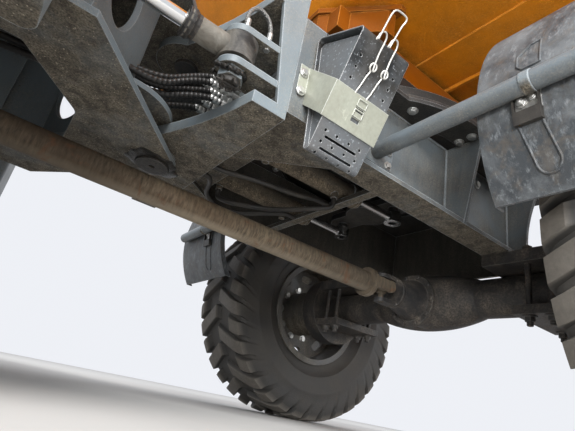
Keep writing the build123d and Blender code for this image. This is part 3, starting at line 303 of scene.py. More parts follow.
def grimy_iron(name, colour=(0.020, 0.020, 0.021), dust=(0.150, 0.125, 0.098), amount=0.8):
    """Black castings under road dirt and old oil, with dirt caked in streaks."""
    f = Finish(name)
    cloud = f.ramp(f.noise(9.0, 9, 0.68, warp=0.6), 0.40, 0.70)
    streak = f.noise(26.0, 6, 0.6, stretch=(1, 1, 0.25))
    dirt = f.blend(f.ramp(f.noise(160.0, 4), 0.36, 0.64), shade(dust, 0.4), shade(dust, 1.6))
    caked = f.larger(cloud, f.times(f.shelter(0.05), 0.6))
    share = f.times(caked, f.ramp(streak, 0.35, 0.65, 0.35, 1.0), amount)
    lumps = f.times(f.noise(60.0, 8, 0.7), share)
    # Light edges: wear, with a painted highlight along the edges.
    wear_and_highlight = f.times(f.edges(), f.ramp(f.noise(24.0, 6), 0.35, 0.6, 0.1, 0.7))
    look = f.blend(wear_and_highlight, f.blend(share, colour, dirt), (0.21, 0.20, 0.185))
    return f.finish(look, f.ramp(share, 0, 1, 0.5, 0.95), bump=lumps, bump_depth=0.005)


def rusty_shaft(name):
    """Propshaft: paint nearly gone, brown rust and dust in fine slanting turns, paler along its lower side
    with dust and painted light from the floor, and darker towards both of its ends."""
    f = Finish(name)
    fine = f.noise(120.0, 8, 0.7, stretch=(1.0, 0.22, 0.22), warp=0.3, turn=(0, 0.5, 0))
    broad = f.noise(9.0, 7, 0.6, stretch=(0.5, 1, 1), warp=0.4)
    brown = f.blend(f.ramp(fine, 0.32, 0.66), (0.036, 0.026, 0.016), (0.270, 0.206, 0.134))
    brown = f.blend(f.ramp(broad, 0.44, 0.62, 0.0, 0.55), brown, (0.120, 0.072, 0.040))
    # Paler lower side: dust, with painted light bounced from the floor.
    low = f.times(f.ramp(f.facing("Z"), -0.60, -0.95), f.ramp(broad, 0.3, 0.6, 0.4, 0.9))
    look = f.blend(low, brown, (0.40, 0.335, 0.245))
    x, pale_x = f.along("X"), FRONT_X - 1.10
    look = f.blend(f.ramp(x, pale_x, FRONT_X - 0.45, 0.0, 0.60), look, (0.050, 0.042, 0.032))
    look = f.blend(f.ramp(x, pale_x, FRONT_X - 1.40, 0.0, 0.60), look, (0.034, 0.022, 0.013))
    rust = f.ramp(f.noise(14.0, 7, 0.7, warp=0.5), 0.56, 0.66, 0.0, 0.65)
    look = f.blend(rust, look, (0.150, 0.062, 0.026))
    return f.finish(look, 0.82, bump=f.sum(fine, broad), bump_depth=0.0018)


def metal(name, colour, rough=0.35, dust=0.35, metallic=0.9, specks=None, edge=(0.85, 0.86, 0.86),
          shade_and_stain_from=None):
    """Bare or plated steel, dulled by dust in patches, bright along its edges with wear and painted
    highlight, and, when given a height, dark on faces that look to the right above it: painted shade mixed
    with weather stain."""
    f = Finish(name)
    cloud = f.ramp(f.noise(14.0, 7, 0.6), 0.42, 0.68, 0.0, dust)
    scratch = f.ramp(f.noise(45.0, 7, 0.75, stretch=(1, 1, 0.15), turn=(0.5, 0, 0)), 0.60, 0.66, 0.0, 0.5)
    plate = f.blend(f.noise(120.0, 3), shade(colour, 0.75), shade(colour, 1.08))
    plate = f.blend(scratch, plate, shade(colour, 1.5))
    if specks is not None:
        plate = f.blend(f.specks(specks, 0.22), plate, shade(colour, 2.0))
    # Faces that look to the right, above the given height, darkened: painted shade mixed with weather stain.
    if shade_and_stain_from is not None:
        shade_and_stain = f.times(f.ramp(f.facing("Y"), -0.6, -0.8), f.ramp(f.along("Z"), shade_and_stain_from, shade_and_stain_from + 0.04),
                        f.ramp(f.noise(30.0, 7, 0.7), 0.34, 0.56, 0.65, 1.0))
        plate = f.blend(f.times(shade_and_stain, 0.96), plate, shade(colour, 0.10))
        plate = f.blend(f.ramp(f.noise(150.0, 5, 0.7), 0.60, 0.68, 0.0, 0.8), plate, shade(colour, 2.4))
    look = f.blend(cloud, plate, (0.15, 0.12, 0.085))
    # Bright edges: wear, with a painted highlight along the edges.
    look = f.blend(f.times(f.edges(0.002), 0.8), look, edge)
    return f.finish(look, f.ramp(cloud, 0, 1, rough, 0.9), metal=metallic, bump=f.noise(240.0, 3),
                    bump_depth=0.0003)


def rubber(name, colour=(0.021, 0.021, 0.021), dust=(0.098, 0.088, 0.074), amount=0.65):
    """Tyre rubber: brown-grey dust in clouds, paler where the piece says that its face touches the ground."""
    f = Finish(name)
    cloud = f.ramp(f.noise(6.0, 8, 0.62, warp=0.5), 0.32, 0.66, 0.1, amount)
    fine = f.noise(140.0, 4, 0.6)
    dirt = f.blend(fine, shade(dust, 0.55), dust)
    scuffed = f.blend(f.noise(55.0, 6, 0.7), (0.060, 0.054, 0.046), (0.180, 0.162, 0.138))
    tread = f.ramp(f.attribute("tread"), 0.55, 0.95, 0.0, 0.9)
    look = f.blend(tread, f.blend(cloud, colour, dirt), scuffed)
    return f.finish(look, f.ramp(cloud, 0, 1, 0.5, 0.9), bump=f.sum(fine, f.noise(35.0, 6)),
                    bump_depth=0.0010)


def hose_rubber(name, amount=0.45, colour=(0.014, 0.014, 0.015), dust=(0.125, 0.108, 0.086)):
    """Black hose cover, dusty along its run."""
    f = Finish(name)
    cloud = f.ramp(f.noise(16.0, 7, 0.6), 0.38, 0.66, 0.1, amount)
    fine = f.noise(300.0, 3)
    look = f.blend(cloud, colour, f.blend(fine, shade(dust, 0.5), dust))
    return f.finish(look, f.ramp(cloud, 0, 1, 0.38, 0.9), bump=fine, bump_depth=0.0004)


def plastic(name, colour=(0.050, 0.056, 0.062), rough=0.42, haze=(0.170, 0.182, 0.190), edge=0.5):
    """Moulded plastic, bleached in clouds and lightly grained."""
    f = Finish(name)
    cloud = f.ramp(f.noise(7.0, 9, 0.72, warp=0.3), 0.40, 0.64)
    dirt = f.times(f.ramp(f.noise(22.0, 8, 0.7, warp=0.6), 0.5, 0.64, 0.0, 0.6), 0.8)
    # Light edges: wear, with a painted highlight along the edges.
    wear_and_highlight = f.times(f.edges(), edge)
    rubbed = f.ramp(f.noise(60.0, 8, 0.8, stretch=(1, 1, 0.35), turn=(0.6, 0, 0)), 0.52, 0.66, 0.0, 0.6)
    look = f.blend(rubbed, f.blend(cloud, colour, haze), shade(haze, 1.7))
    look = f.blend(dirt, look, (0.12, 0.10, 0.078))
    return f.finish(f.blend(wear_and_highlight, look, shade(haze, 2.0)), f.ramp(cloud, 0, 1, rough, 0.75),
                    bump=f.noise(260.0, 3, 0.6), bump_depth=0.0005)


def vinyl(name, colour=(0.020, 0.020, 0.022)):
    """Seat cover: grained black vinyl, a little dusty where it is crowned."""
    f = Finish(name)
    cloud = f.ramp(f.noise(7.0, 6), 0.42, 0.7, 0.0, 0.4)
    return f.finish(f.blend(cloud, colour, (0.085, 0.078, 0.068)), f.ramp(cloud, 0, 1, 0.42, 0.7),
                    bump=f.cells(420.0), bump_depth=0.0006)


def lens(name, colour, rough=0.10):
    """Moulded lens with fine upright flutes."""
    f = Finish(name)
    tone = f.blend(f.noise(20.0, 4), colour, shade(colour, 1.15))
    return f.finish(tone, rough, bump=f.waves(40.0, "Y"), bump_depth=0.0008, Coat_Weight=0.4)


def grease(name):
    """Old black grease: dark, glossy and lumpy."""
    f = Finish(name)
    lumps = f.noise(90.0, 6, 0.65)
    look = f.blend(f.ramp(lumps, 0.4, 0.7), (0.006, 0.006, 0.005), (0.030, 0.024, 0.018))
    return f.finish(look, 0.38, bump=lumps, bump_depth=0.004)


def braid(name):
    """Steel-braided hose: crossing fine bands, dull silver."""
    f = Finish(name)
    weave = f.times(f.waves(110.0, turn=(0.8, 0.8, 0)), f.waves(110.0, turn=(-0.8, -0.8, 0)))
    return f.finish(f.blend(weave, (0.10, 0.10, 0.098), (0.50, 0.49, 0.46)), 0.45, metal=0.5, bump=weave,
                    bump_depth=0.0008)


def rod_and_sleeve(name):
    """Steering rod: bright chrome behind, and a dusty painted sleeve and greasy eye in front."""
    f = Finish(name)
    sleeve_x = FRONT_X + STEER_PIN_X - 0.137
    x = f.along("X")
    dull = f.ramp(x, sleeve_x - 0.001, sleeve_x + 0.001)
    cloud = f.ramp(f.noise(20.0, 7, 0.65, warp=0.4), 0.35, 0.65)
    grimy = f.ramp(x, sleeve_x + 0.085, sleeve_x + 0.115)
    dust = f.blend(cloud, (0.30, 0.285, 0.25), (0.13, 0.108, 0.078))
    eye = f.blend(cloud, (0.012, 0.011, 0.010), (0.16, 0.15, 0.135))
    look = f.blend(dull, (0.74, 0.75, 0.75), f.blend(grimy, dust, eye))
    return f.finish(look, f.ramp(dull, 0, 1, 0.16, 0.62), metal=f.ramp(dull, 0, 1, 1.0, 0.15),
                    bump=f.times(cloud, dull), bump_depth=0.002)


def make_materials():
    """One finish for each material slot of the record, and those of the added pieces."""
    grey = (0.200, 0.242, 0.268)
    orange = (0.84, 0.270, 0.004)
    return {
        "frame_paint": dusty_paint("frame_grey_paint", grey, dust=(0.225, 0.197, 0.150)),
        # Rails and crossmembers: the frame grey at 0.6 as painted shade under the deck, with more dust all
        # over.
        "rail_paint_shaded": dusty_paint("rail_grey_paint_shaded", shade(grey, 0.60), inside=0.327, all_over=0.55),
        "barrel_dust": dusty_paint("slew_barrel_dirt", (0.07, 0.06, 0.05), dust=(0.21, 0.170, 0.118),
                                   all_over=0.8),
        # Skip arms: the skip's orange darkened as painted shade, under dust and chips.
        "arm_paint_shaded": dusty_paint("arm_orange_paint_shaded", (0.25, 0.064, 0.001), dust=(0.11, 0.055, 0.016),
                                 under=0.3, all_over=0.25, chips=(0.13, 0.07, 0.035),
                                 edge=(0.75, 0.30, 0.05), gloss=0.15),
        "skip_paint": dusty_paint("skip_orange_paint", orange, dust=(0.32, 0.150, 0.030), under=0.25,
                                  all_over=0.20, rough=0.34, chips=(0.15, 0.08, 0.04),
                                  edge=(0.86, 0.36, 0.06), gloss=0.2),
        "tube_paint": dusty_paint("mudguard_tube_paint", (0.150, 0.182, 0.205), under=0.25, all_over=0.22,
                                  rough=0.28),
        "axle_iron": grimy_iron("axle_casting_grime"),
        "shaft_steel": rusty_shaft("propshaft_rust"),
        "bright_steel": metal("plated_steel", (0.62, 0.62, 0.60)),
        "rod_chrome": metal("rod_chrome", (0.78, 0.79, 0.80), rough=0.14, dust=0.15, metallic=1.0),
        "zinc_sheet": metal("yellow_zinc_sheet", (0.43, 0.445, 0.370), rough=0.5, dust=0.20, metallic=0.35),
        # Galvanised chock: its right-facing face darkened above the rails as painted shade mixed with weather
        # stain.
        "galvanised": metal("galvanised_sheet", (0.165, 0.178, 0.190), rough=0.42, dust=0.22, metallic=0.40,
                            specks=75.0, shade_and_stain_from=RAIL_Z + 0.060),
        "tyre_rubber": rubber("tyre_rubber_dusty"),
        "hose_rubber": hose_rubber("hose_rubber_dusty"),
        "rim_paint": dusty_paint("rim_grey_paint", (0.060, 0.062, 0.064), all_over=0.6,
                                 edge=(0.20, 0.20, 0.19)),
        "black_plastic": plastic("faded_black_plastic"),
        "engine_paint": dusty_paint("engine_enamel", (0.04, 0.043, 0.047), all_over=0.5,
                                    edge=(0.15, 0.15, 0.15)),
        "pressing": plastic("pressed_black_plastic", edge=0.0),
        "wrap_black": hose_rubber("spiral_wrap_black", amount=0.18),
        "seat_vinyl": vinyl("seat_black_vinyl"),
        "lamp_lens": lens("lamp_lens", (0.72, 0.71, 0.68)),
        # Front deck and turntable: near-black paint as painted shade under the skip, with dust and light
        # edges.
        "deck_black_shaded": dusty_paint("deck_shaded_dark_paint", (0.016, 0.018, 0.020), all_over=0.30, under=0.35,
                                  dust=(0.070, 0.060, 0.046), edge=(0.30, 0.31, 0.32)),
        "dial": plastic("dial_face", (0.012, 0.012, 0.013), rough=0.15, haze=(0.03, 0.03, 0.03)),
        "tail_lens": lens("tail_lens_red", (0.42, 0.012, 0.010)),
        "grease": grease("black_grease"),
        "braid": braid("steel_braid"),
        "clip_wire": metal("clip_wire_zinc", (0.74, 0.73, 0.68), rough=0.3, dust=0.1, metallic=0.6),
        "weld_bead": dusty_paint("painted_weld", (0.19, 0.225, 0.25), under=0.8, all_over=0.3),
        "rod_dusty": rod_and_sleeve("steering_rod_finish"),
    }


MATERIALS = make_materials()
OTHER_FINISH = {             # the CAD nodes whose finish differs from the rest of their slot's
    "front_deck": "deck_black_shaded", "turntable": "deck_black_shaded", "pivot_pins": "axle_iron",
    "mudguard_tubes": "tube_paint", "tail_lamps": "black_plastic", "front_rails": "rail_paint_shaded",
    "front_crossmembers": "rail_paint_shaded", "slew_barrels": "barrel_dust", "skip_arms": "arm_paint_shaded",
    "steer_rod_left": "rod_dusty", "steer_rod_right": "rod_dusty"}


def dress_nodes():
    """Each CAD node in the finish of its slot, or in its own."""
    slot_of = {row["node"]: row["material_slot"] for row in frame["record"]["subparts"]}
    for name, obj in NODES.items():
        obj.data.materials.clear()
        obj.data.materials.append(MATERIALS[OTHER_FINISH.get(name, slot_of[name])])


# Shapes: each is (points, quads), joined and turned into a mesh at the end
def grid(points, wrap_rows=False):
    """Quads through rows of points: each row is closed, and the last row joins the first if told."""
    rows, columns = points.shape[:2]
    number = np.arange(rows * columns).reshape(rows, columns)
    if wrap_rows:
        number = np.vstack([number, number[:1]])
    number = np.hstack([number, number[:, :1]])
    quads = np.stack([number[:-1, :-1], number[1:, :-1], number[1:, 1:], number[:-1, 1:]], axis=-1)
    return points.reshape(-1, 3), quads.reshape(-1, 4)


def capped(rows):
    """Rows with the middle of the first and of the last added, which closes the grid through them."""
    first, last = (np.broadcast_to(row.mean(axis=0), row.shape)[None] for row in (rows[0], rows[-1]))
    return np.concatenate([first, rows, last])


def joined(shapes):
    """Several shapes as one."""
    shift = np.cumsum([0] + [len(points) for points, _ in shapes[:-1]])
    return (np.vstack([points for points, _ in shapes]),
            np.vstack([quads + offset for (_, quads), offset in zip(shapes, shift)]))


def level_ring(x, y, z, radius, angle):
    """Points at angles round an upright axis; the height and the radius may differ from point to point."""
    return np.stack(np.broadcast_arrays(x + radius * np.cos(angle), y + radius * np.sin(angle), z), axis=-1)


def turned(profile, sides=24):
    """Surface of revolution: each (radius, height) of the profile runs round Z; ends at radius 0 close it."""
    angle = np.linspace(0, 2 * np.pi, sides, endpoint=False)
    return grid(np.stack([level_ring(0, 0, height, radius, angle) for radius, height in profile]))


def smooth_path(points, count):
    """Uniform quadratic B-spline through the middles of the runs, with its ends at the end points."""
    spots = np.array(points, float)
    spots = np.vstack([2 * spots[:1] - spots[1:2], spots, 2 * spots[-1:] - spots[-2:-1]])
    at = np.linspace(0, len(spots) - 2 - 1e-9, count)
    first = at.astype(int)
    t = (at - first)[:, None]
    a, b, c = spots[first], spots[first + 1], spots[first + 2]
    return 0.5 * (1 - t) ** 2 * a + (0.5 + t - t * t) * b + 0.5 * t * t * c


def straight_path(places, count):
    """Points along the straight runs between places, count to a run."""
    places = np.array(places, float)
    runs = [np.linspace(a, b, count, endpoint=False) for a, b in zip(places, places[1:])]
    return np.concatenate(runs + [places[-1:]])


def swept(path, section, hint=UP, swell=None):
    """A closed section, in metres across the path, carried along it square to its run, with closed ends."""
    tangent = np.gradient(path, axis=0)
    tangent /= np.linalg.norm(tangent, axis=1, keepdims=True)
    across = np.cross(tangent, np.array(hint, float))
    across /= np.linalg.norm(across, axis=1, keepdims=True)
    above = np.cross(across, tangent)
    section = np.broadcast_to(section, (len(path),) + section.shape)
    if swell is not None:
        section = section * swell[..., None]
    rows = path[:, None] + section[..., :1] * across[:, None] + section[..., 1:] * above[:, None]
    ends = [np.broadcast_to(path[i], rows[i].shape)[None] for i in (0, -1)]
    return grid(np.concatenate([ends[0], rows, ends[1]]))


def circle(radius, sides=12):
    """Section of a round bar."""
    angle = np.linspace(0, 2 * np.pi, sides, endpoint=False)
    return np.stack([radius * np.cos(angle), radius * np.sin(angle)], axis=-1)


def stamped(shape, places, way, turn=0.0):
    """Copies of a shape at the places, its Z along way, turned by turn about it."""
    places = np.array(places, float)
    z = np.array(way, float)
    z = np.broadcast_to(z / np.linalg.norm(z), places.shape)
    helper = np.where(np.abs(z[:, 2:]) > 0.9, [[1.0, 0, 0]], [[0, 0, 1.0]])
    x = np.cross(helper, z)
    x /= np.linalg.norm(x, axis=1, keepdims=True)
    y = np.cross(z, x)
    x, y = math.cos(turn) * x + math.sin(turn) * y, math.cos(turn) * y - math.sin(turn) * x
    points, quads = shape
    copies = np.einsum("kij,nj->kni", np.stack([x, y, z], axis=-1), points) + places[:, None]
    offsets = (np.arange(len(places)) * len(points))[:, None, None]
    return copies.reshape(-1, 3), (quads[None] + offsets).reshape(-1, 4)


def bolt(across=0.018, head=0.008, washer=True):
    """Hexagon head on its washer, Z outwards from the seat; across is its width across corners."""
    r = across / 2
    cap = turned([(0, -0.004), (r, -0.004), (r, 0.85 * head), (0.86 * r, head), (0, head)], 6)
    if not washer:
        return cap
    ring = turned([(0, -0.001), (1.35 * r, -0.001), (1.35 * r, 0.0020), (1.30 * r, 0.0026), (0, 0.0026)], 20)
    return joined([ring, cap])


def nut_on_stud(across=0.030, high=0.016, stud=0.010, proud=0.014):
    """Hexagon nut on a washer with its stud's end standing proud."""
    r, top = across / 2, high + proud
    ring = turned([(0, -0.001), (1.3 * r, -0.001), (1.3 * r, 0.003), (0, 0.003)], 20)
    nut = turned([(0, 0), (r, 0), (r, 0.85 * high), (0.88 * r, high), (0, high)], 6)
    end = turned([(0, 0), (stud, 0), (stud, top - 0.002), (stud - 0.002, top), (0, top)], 16)
    return joined([ring, nut, end])


def add_piece(name, shape, slot, body, smooth_to=38.0, tread=None):
    """A mesh piece from a shape: its doubles merged, faces outwards, smooth below the angle smooth_to."""
    points, quads = shape
    mesh = bpy.data.meshes.new(name)
    mesh.from_pydata(points.tolist(), [], quads.tolist())
    if tread is not None:
        layer = mesh.attributes.new("tread", "FLOAT", "POINT")
        layer.data.foreach_set("value", tread.astype(np.float32))
    work = bmesh.new()
    work.from_mesh(mesh)
    bmesh.ops.remove_doubles(work, verts=work.verts, dist=1e-6)
    bmesh.ops.recalc_face_normals(work, faces=work.faces)
    work.to_mesh(mesh)
    work.free()
    mesh.shade_smooth()
    mesh.set_sharp_from_angle(angle=math.radians(smooth_to))
    mesh.materials.append(MATERIALS[slot])
    piece = bpy.data.objects.new(name, mesh)
    bpy.context.scene.collection.objects.link(piece)
    if body is not None:
        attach(piece, body)
    return piece


# Tyres
LUGS = 18                    # long bars a side, with a short shoulder block between each two
LUG_DEPTH = 0.026
LUG_SLANT = math.radians(28)
SLANT_FROM = 0.128           # distance from the middle at which a bar keeps its pitch place
SWEEP, SWEEP_R, SWEEP_RUN = 0.75, 0.50, 0.2      # how far bars lean back down the shoulder, below a radius
BAR_HALF, BAR_FLANK = 0.36, 0.03     # half a bar's width and its flank's, in pitches
BLOCK_FROM, BLOCK_RUN = 0.105, 0.008         # where a short block rises, out from the middle
SHOULDER_R, SHOULDER_RUN = 0.485, 0.022      # where the lugs rise out of the sidewall
RIDGE_R, RIDGE_RUN, RIDGE_SHARE = 0.425, 0.06, 0.30          # low ribs that lead up to the lugs
TYRE_HALF = 0.200
INSIDE_BY = 0.0005           # the tyre stays inside its box by this much
HALF_SECTION = (             # radius, distance from the wheel's middle plane
    (0.2545, 0.139), (0.268, 0.143), (0.292, 0.148), (0.322, 0.172), (0.330, 0.181), (0.336, 0.180),
    (0.365, 0.193), (0.405, 0.1975), (0.411, 0.1995), (0.417, 0.1975), (0.450, 0.1985), (0.476, 0.197),
    (0.496, 0.190), (0.510, 0.176), (0.5165, 0.156), (0.519, 0.130), (0.520, 0.100), (0.521, 0.060),
    (0.521, 0.025), (0.521, 0.0))
CELL = (-0.50, -0.385, -0.335, -0.318, -0.22, -0.08,     # columns of points in half a pitch
        0.08, 0.22, 0.318, 0.335, 0.385)
WHEELS = [(f"{end}_{hand}", x, s) for end, x in (("front", FRONT_X), ("rear", REAR_X)) for hand, s in SIDES]


def rising(value, start, run):
    """0 up to start and 1 from start + run on."""
    return np.clip((value - start) / run, 0, 1)


def tyre(x, s):
    """Tyre at x on the side s. Its section runs round the axle, and each point stands out from it by the
    lug's depth times a bar's step function; columns lean with the bars, so that the steps are crisp."""
    half = np.array(HALF_SECTION)
    section = np.vstack([half, (half * (1, -1))[-2::-1]])
    step = np.gradient(section, axis=0)
    outward = np.stack([-step[:, 1], step[:, 0]], axis=-1)
    outward /= np.linalg.norm(outward, axis=1, keepdims=True)
    radius, out = section.T
    number = np.repeat(np.arange(2 * LUGS), len(CELL))
    across = np.tile(CELL, 2 * LUGS)
    sweep = SWEEP * np.clip(SWEEP_R - radius, 0, SWEEP_RUN)
    lean = -s * (math.tan(LUG_SLANT) * (np.abs(out) - SLANT_FROM) + sweep) / TYRE_R
    angle = (number + across)[None] * np.pi / LUGS + lean[:, None]
    long_bar = (number[None] % 2 == 0) == (out[:, None] >= 0)
    on_bar = 1 - rising(np.abs(across), BAR_HALF - BAR_FLANK, BAR_FLANK)[None]
    bar = on_bar * np.where(long_bar, 1.0, rising(np.abs(out), BLOCK_FROM, BLOCK_RUN)[:, None])
    shoulder = rising(radius, SHOULDER_R, SHOULDER_RUN)
    ridge = RIDGE_SHARE * rising(radius, RIDGE_R, RIDGE_RUN)
    rise = LUG_DEPTH * np.maximum(shoulder, ridge)[:, None] * bar
    reach = np.minimum(TYRE_R - INSIDE_BY, radius[:, None] + outward[:, :1] * rise)
    wide = np.clip(out[:, None] + outward[:, 1:] * rise, INSIDE_BY - TYRE_HALF, TYRE_HALF - INSIDE_BY)
    y = s * WHEEL_Y + s * np.broadcast_to(wide, angle.shape)
    points = np.stack([x + reach * np.cos(angle), y, AXLE_Z - s * reach * np.sin(angle)], axis=-1)
    tread = np.broadcast_to(shoulder[:, None] * bar, angle.shape).ravel()
    return grid(points, wrap_rows=True), tread


def add_tyres():
    """The four tyres, each in place of its plain solid."""
    for wheel, x, s in WHEELS:
        shape, tread = tyre(x, s)
        piece = add_piece(f"tyre_{wheel}_lugged", shape, "tyre_rubber", f"wheel_{wheel}", tread=tread)
        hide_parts(f"tyre_{wheel}")


def add_wheel_nuts():
    """Ten nuts on each wheel's disc, outside and in, and the tyre's valve."""
    count, ring = 10, 0.138
    disc_out, disc_in = WHEEL_Y + 0.046, WHEEL_Y + 0.009
    angle = np.arange(count) * 2 * np.pi / count
    for wheel, x, s in WHEELS:
        spots = np.stack([x + ring * np.cos(angle), 0 * angle, AXLE_Z + ring * np.sin(angle)], axis=-1)
        outer = stamped(nut_on_stud(0.032, 0.018, 0.009, 0.010), spots + (0, s * disc_out, 0), (0, s, 0))
        inner = stamped(bolt(0.030, 0.012), spots + (0, s * disc_in, 0), (0, -s, 0))
        bend = [(x + 0.238, s * (WHEEL_Y + 0.050), AXLE_Z), (x + 0.232, s * (WHEEL_Y + 0.075), AXLE_Z),
                (x + 0.215, s * (WHEEL_Y + 0.088), AXLE_Z)]
        valve = swept(smooth_path(bend, 8), circle(0.005, 10))
        add_piece(f"wheel_nuts_{wheel}", joined([outer, inner, valve]), "bright_steel", f"wheel_{wheel}")


# Bolts, nuts and grease
def spot(x, y, z):
    """A place given by its distance ahead of the front axle, to the left and above the ground."""
    return (FRONT_X + x, y, z)


def mirrored(places):
    """The places and their images on the machine's other side."""
    places = np.array(places, float)
    return np.vstack([places, places * (1, -1, 1)])


def ring_of(x, z, radius, count):
    """Places evenly round an upright axis on the machine's middle plane."""
    return level_ring(x, 0, z, radius, np.arange(count) * 2 * np.pi / count)


def clear_of_rails(places):
    """The places that don't fall on a rail or on the middle rib."""
    y = np.abs(places[:, 1])
    return places[(np.abs(y - 0.330) >= 0.035) & (y >= 0.12)]


def axle_studs(axle_x, inner_y, z):
    """The eight studs of an axle's clamps, in fours."""
    places = [(axle_x + dx, y, z) for dx in (-0.11, 0.11) for y in (inner_y, inner_y + 0.070)]
    return mirrored(places)


def add_bolts():
    """Fasteners, each row a group that shares its head and direction."""
    clamp_low = AXLE_Z - 0.072 - 0.030
    front_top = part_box("front_axle_clamps")[1].z - 0.020
    rear_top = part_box("rear_axle_clamps")[1].z - 0.020
    clamp_nut, clamp_top = nut_on_stud(0.034, 0.018), nut_on_stud(0.034, 0.018, proud=0.004)
    flange = np.array([spot(TUBE_X + dx, -RAIL_WEB_Y - 0.010, TUBE_Z + dz) for dx in (-0.052, 0.052)
                       for dz in (-0.024, 0.024)])
    foot_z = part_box("rops_hoop")[0].z + 0.014
    hoop_foot = [(HOOP_X + dx, 0.5 + dy, foot_z) for dx in (-0.052, 0.052) for dy in (-0.044, 0.044)]
    angle = np.arange(10) * math.pi / 5
    cover_ring = [(FRONT_X - 0.1275, 0.096 * math.cos(a), AXLE_Z - 0.022 + 0.096 * math.sin(a))
                  for a in angle]
    right, left = (0, -1, 0), (0, 1, 0)
    groups = (               # name, shape, places, direction, slot, body
        ("deck_ring_bolts", bolt(0.026, 0.010), clear_of_rails(ring_of(RING_X, DECK_Z, 0.448, 24)), DOWN,
         "bright_steel", "root"),
        ("ring_seat_bolts", bolt(0.024, 0.010), clear_of_rails(ring_of(RING_X, DECK_Z, 0.400, 24)), DOWN,
         "bright_steel", "root"),
        ("holder_ear_bolts", bolt(0.019, 0.008), [spot(-1.078, -0.4235, z) for z in (0.732, 0.786)], right,
         "bright_steel", "root"),
        ("tube_flange_bolts_right", bolt(0.020, 0.009), flange, right, "bright_steel", "root"),
        ("tube_flange_bolts_left", bolt(0.020, 0.009), flange * (1, -1, 1), left, "bright_steel", "root"),
        ("rail_web_bolts", bolt(0.024, 0.010), [spot(x, -RAIL_WEB_Y, 0.905) for x in (-0.332, -0.215)], right,
         "bright_steel", "root"),
        ("clamp_nuts_front", clamp_nut, axle_studs(FRONT_X, 0.455, clamp_low), DOWN, "axle_iron", "root"),
        ("clamp_tops_front", clamp_top, axle_studs(FRONT_X, 0.455, front_top), UP, "axle_iron", "root"),
        ("clamp_nuts_rear", clamp_nut, axle_studs(REAR_X, 0.375, clamp_low), DOWN, "axle_iron",
         "engine_half"),
        ("clamp_tops_rear", clamp_top, axle_studs(REAR_X, 0.375, rear_top), UP, "axle_iron", "engine_half"),
        ("hoop_bolts", bolt(0.024, 0.011), mirrored(hoop_foot), UP, "bright_steel", "engine_half"),
        ("pin_cap_bolts", bolt(0.015, 0.006, washer=False),
         ring_of(PIVOT_X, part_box("pivot_pins")[1].z, 0.026, 4), UP, "bright_steel", "engine_half"),
        ("axle_cover_bolts_front", bolt(0.018, 0.008, washer=False), cover_ring, BACK, "axle_iron", "root"),
    )
    for name, shape, places, way, slot, body in groups:
        add_piece(name, stamped(shape, places, way), slot, body)


def add_castle_nuts():
    """Slotted nuts, split pins and grease under the pins of the steering rods' eyes."""
    angle = np.linspace(0, 2 * np.pi, 72, endpoint=False)
    slot = np.where(np.abs((angle * 6 / (2 * np.pi)) % 1 - 0.5) < 0.13, 0.008, 0.0)
    profile = ((0.0, 0.0), (0.024, 0.0), (0.024, -0.004), (0.0225, -0.013), (0.017, -0.013), (0.016, -0.003),
               (0.0, -0.003))
    smear = np.array([(-0.032, -0.010, 0.020), (-0.012, -0.034, 0.006), (0.020, -0.026, 0.016),
                      (0.034, 0.0, 0.024), (0.016, 0.032, 0.010), (-0.022, 0.026, 0.018)])
    step = np.arange(60)[:, None]
    lumps = 1 + 0.35 * np.sin(step * 1.7) * np.cos(step * 0.6)
    for hand, s in SIDES:
        x, y, low = spot(STEER_PIN_X, s * STEER_PIN_Y, DECK_Z - 0.270)
        crown = grid(np.stack([level_ring(x, y, low + h + (slot if h < -0.012 else 0.0), r, angle)
                               for r, h in profile]))
        pin_run = np.linspace((x - 0.032, y, low - 0.008), (x + 0.034, y, low - 0.008), 6)
        pin = swept(pin_run, circle(0.0022, 8))
        route = smooth_path(smear + (x, y, low), 60)
        grease_run = swept(route, circle(0.006, 10), swell=np.broadcast_to(lumps, (60, 10)))
        add_piece(f"castle_nut_{hand}", joined([crown, pin]), "axle_iron", "root")
        add_piece(f"pin_grease_{hand}", grease_run, "grease", "root")


def add_grease_ring():
    """Grease squeezed out round the lower pivot pin: a flat ring whose rim wanders with three sine waves."""
    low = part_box("rear_frame")[0].z
    angle = np.linspace(0, 2 * np.pi, 96, endpoint=False)
    wander = 0.008 * np.sin(2 * angle + 0.6) + 0.005 * np.sin(5 * angle) + 0.003 * np.sin(11 * angle + 1.0)
    profile = ((0.0455, 0.0, 0.0003), (0.0455, 0.0, -0.0050), (0.052, 0.3, -0.0065), (0.064, 0.8, -0.0032),
               (0.070, 1.0, -0.0008), (0.071, 1.0, 0.0003))      # radius, share of the wander, height
    rows = [level_ring(PIVOT_X, 0, low + height, radius + share * wander, angle)
            for radius, share, height in profile]
    add_piece("pivot_grease", grid(np.stack(rows), wrap_rows=True), "grease", "engine_half", smooth_to=80)


# Hoses and wires
HOSE_R = 0.0085
HOSE_PLATE_X = -1.118
GEARBOX_X = -1.990
PIVOT_HOSES = (              # Y and Z at the plate, over the pivot, and at the gearbox
    ((-0.152, 0.786), (-0.152, 0.706), (-0.110, 0.735)),
    ((-0.112, 0.790), (-0.124, 0.708), (-0.070, 0.735)),
    ((-0.170, 0.818), (-0.180, 0.722), (-0.150, 0.752)),
    ((-0.130, 0.822), (-0.146, 0.732), (-0.032, 0.742)),
    ((-0.148, 0.856), (-0.166, 0.748), (-0.125, 0.782)),
    ((-0.104, 0.850), (-0.116, 0.752), (-0.075, 0.788)),
    ((-0.068, 0.826), (-0.096, 0.724), (0.010, 0.760)),
    ((-0.072, 0.788), (-0.092, 0.706), (0.020, 0.735)))


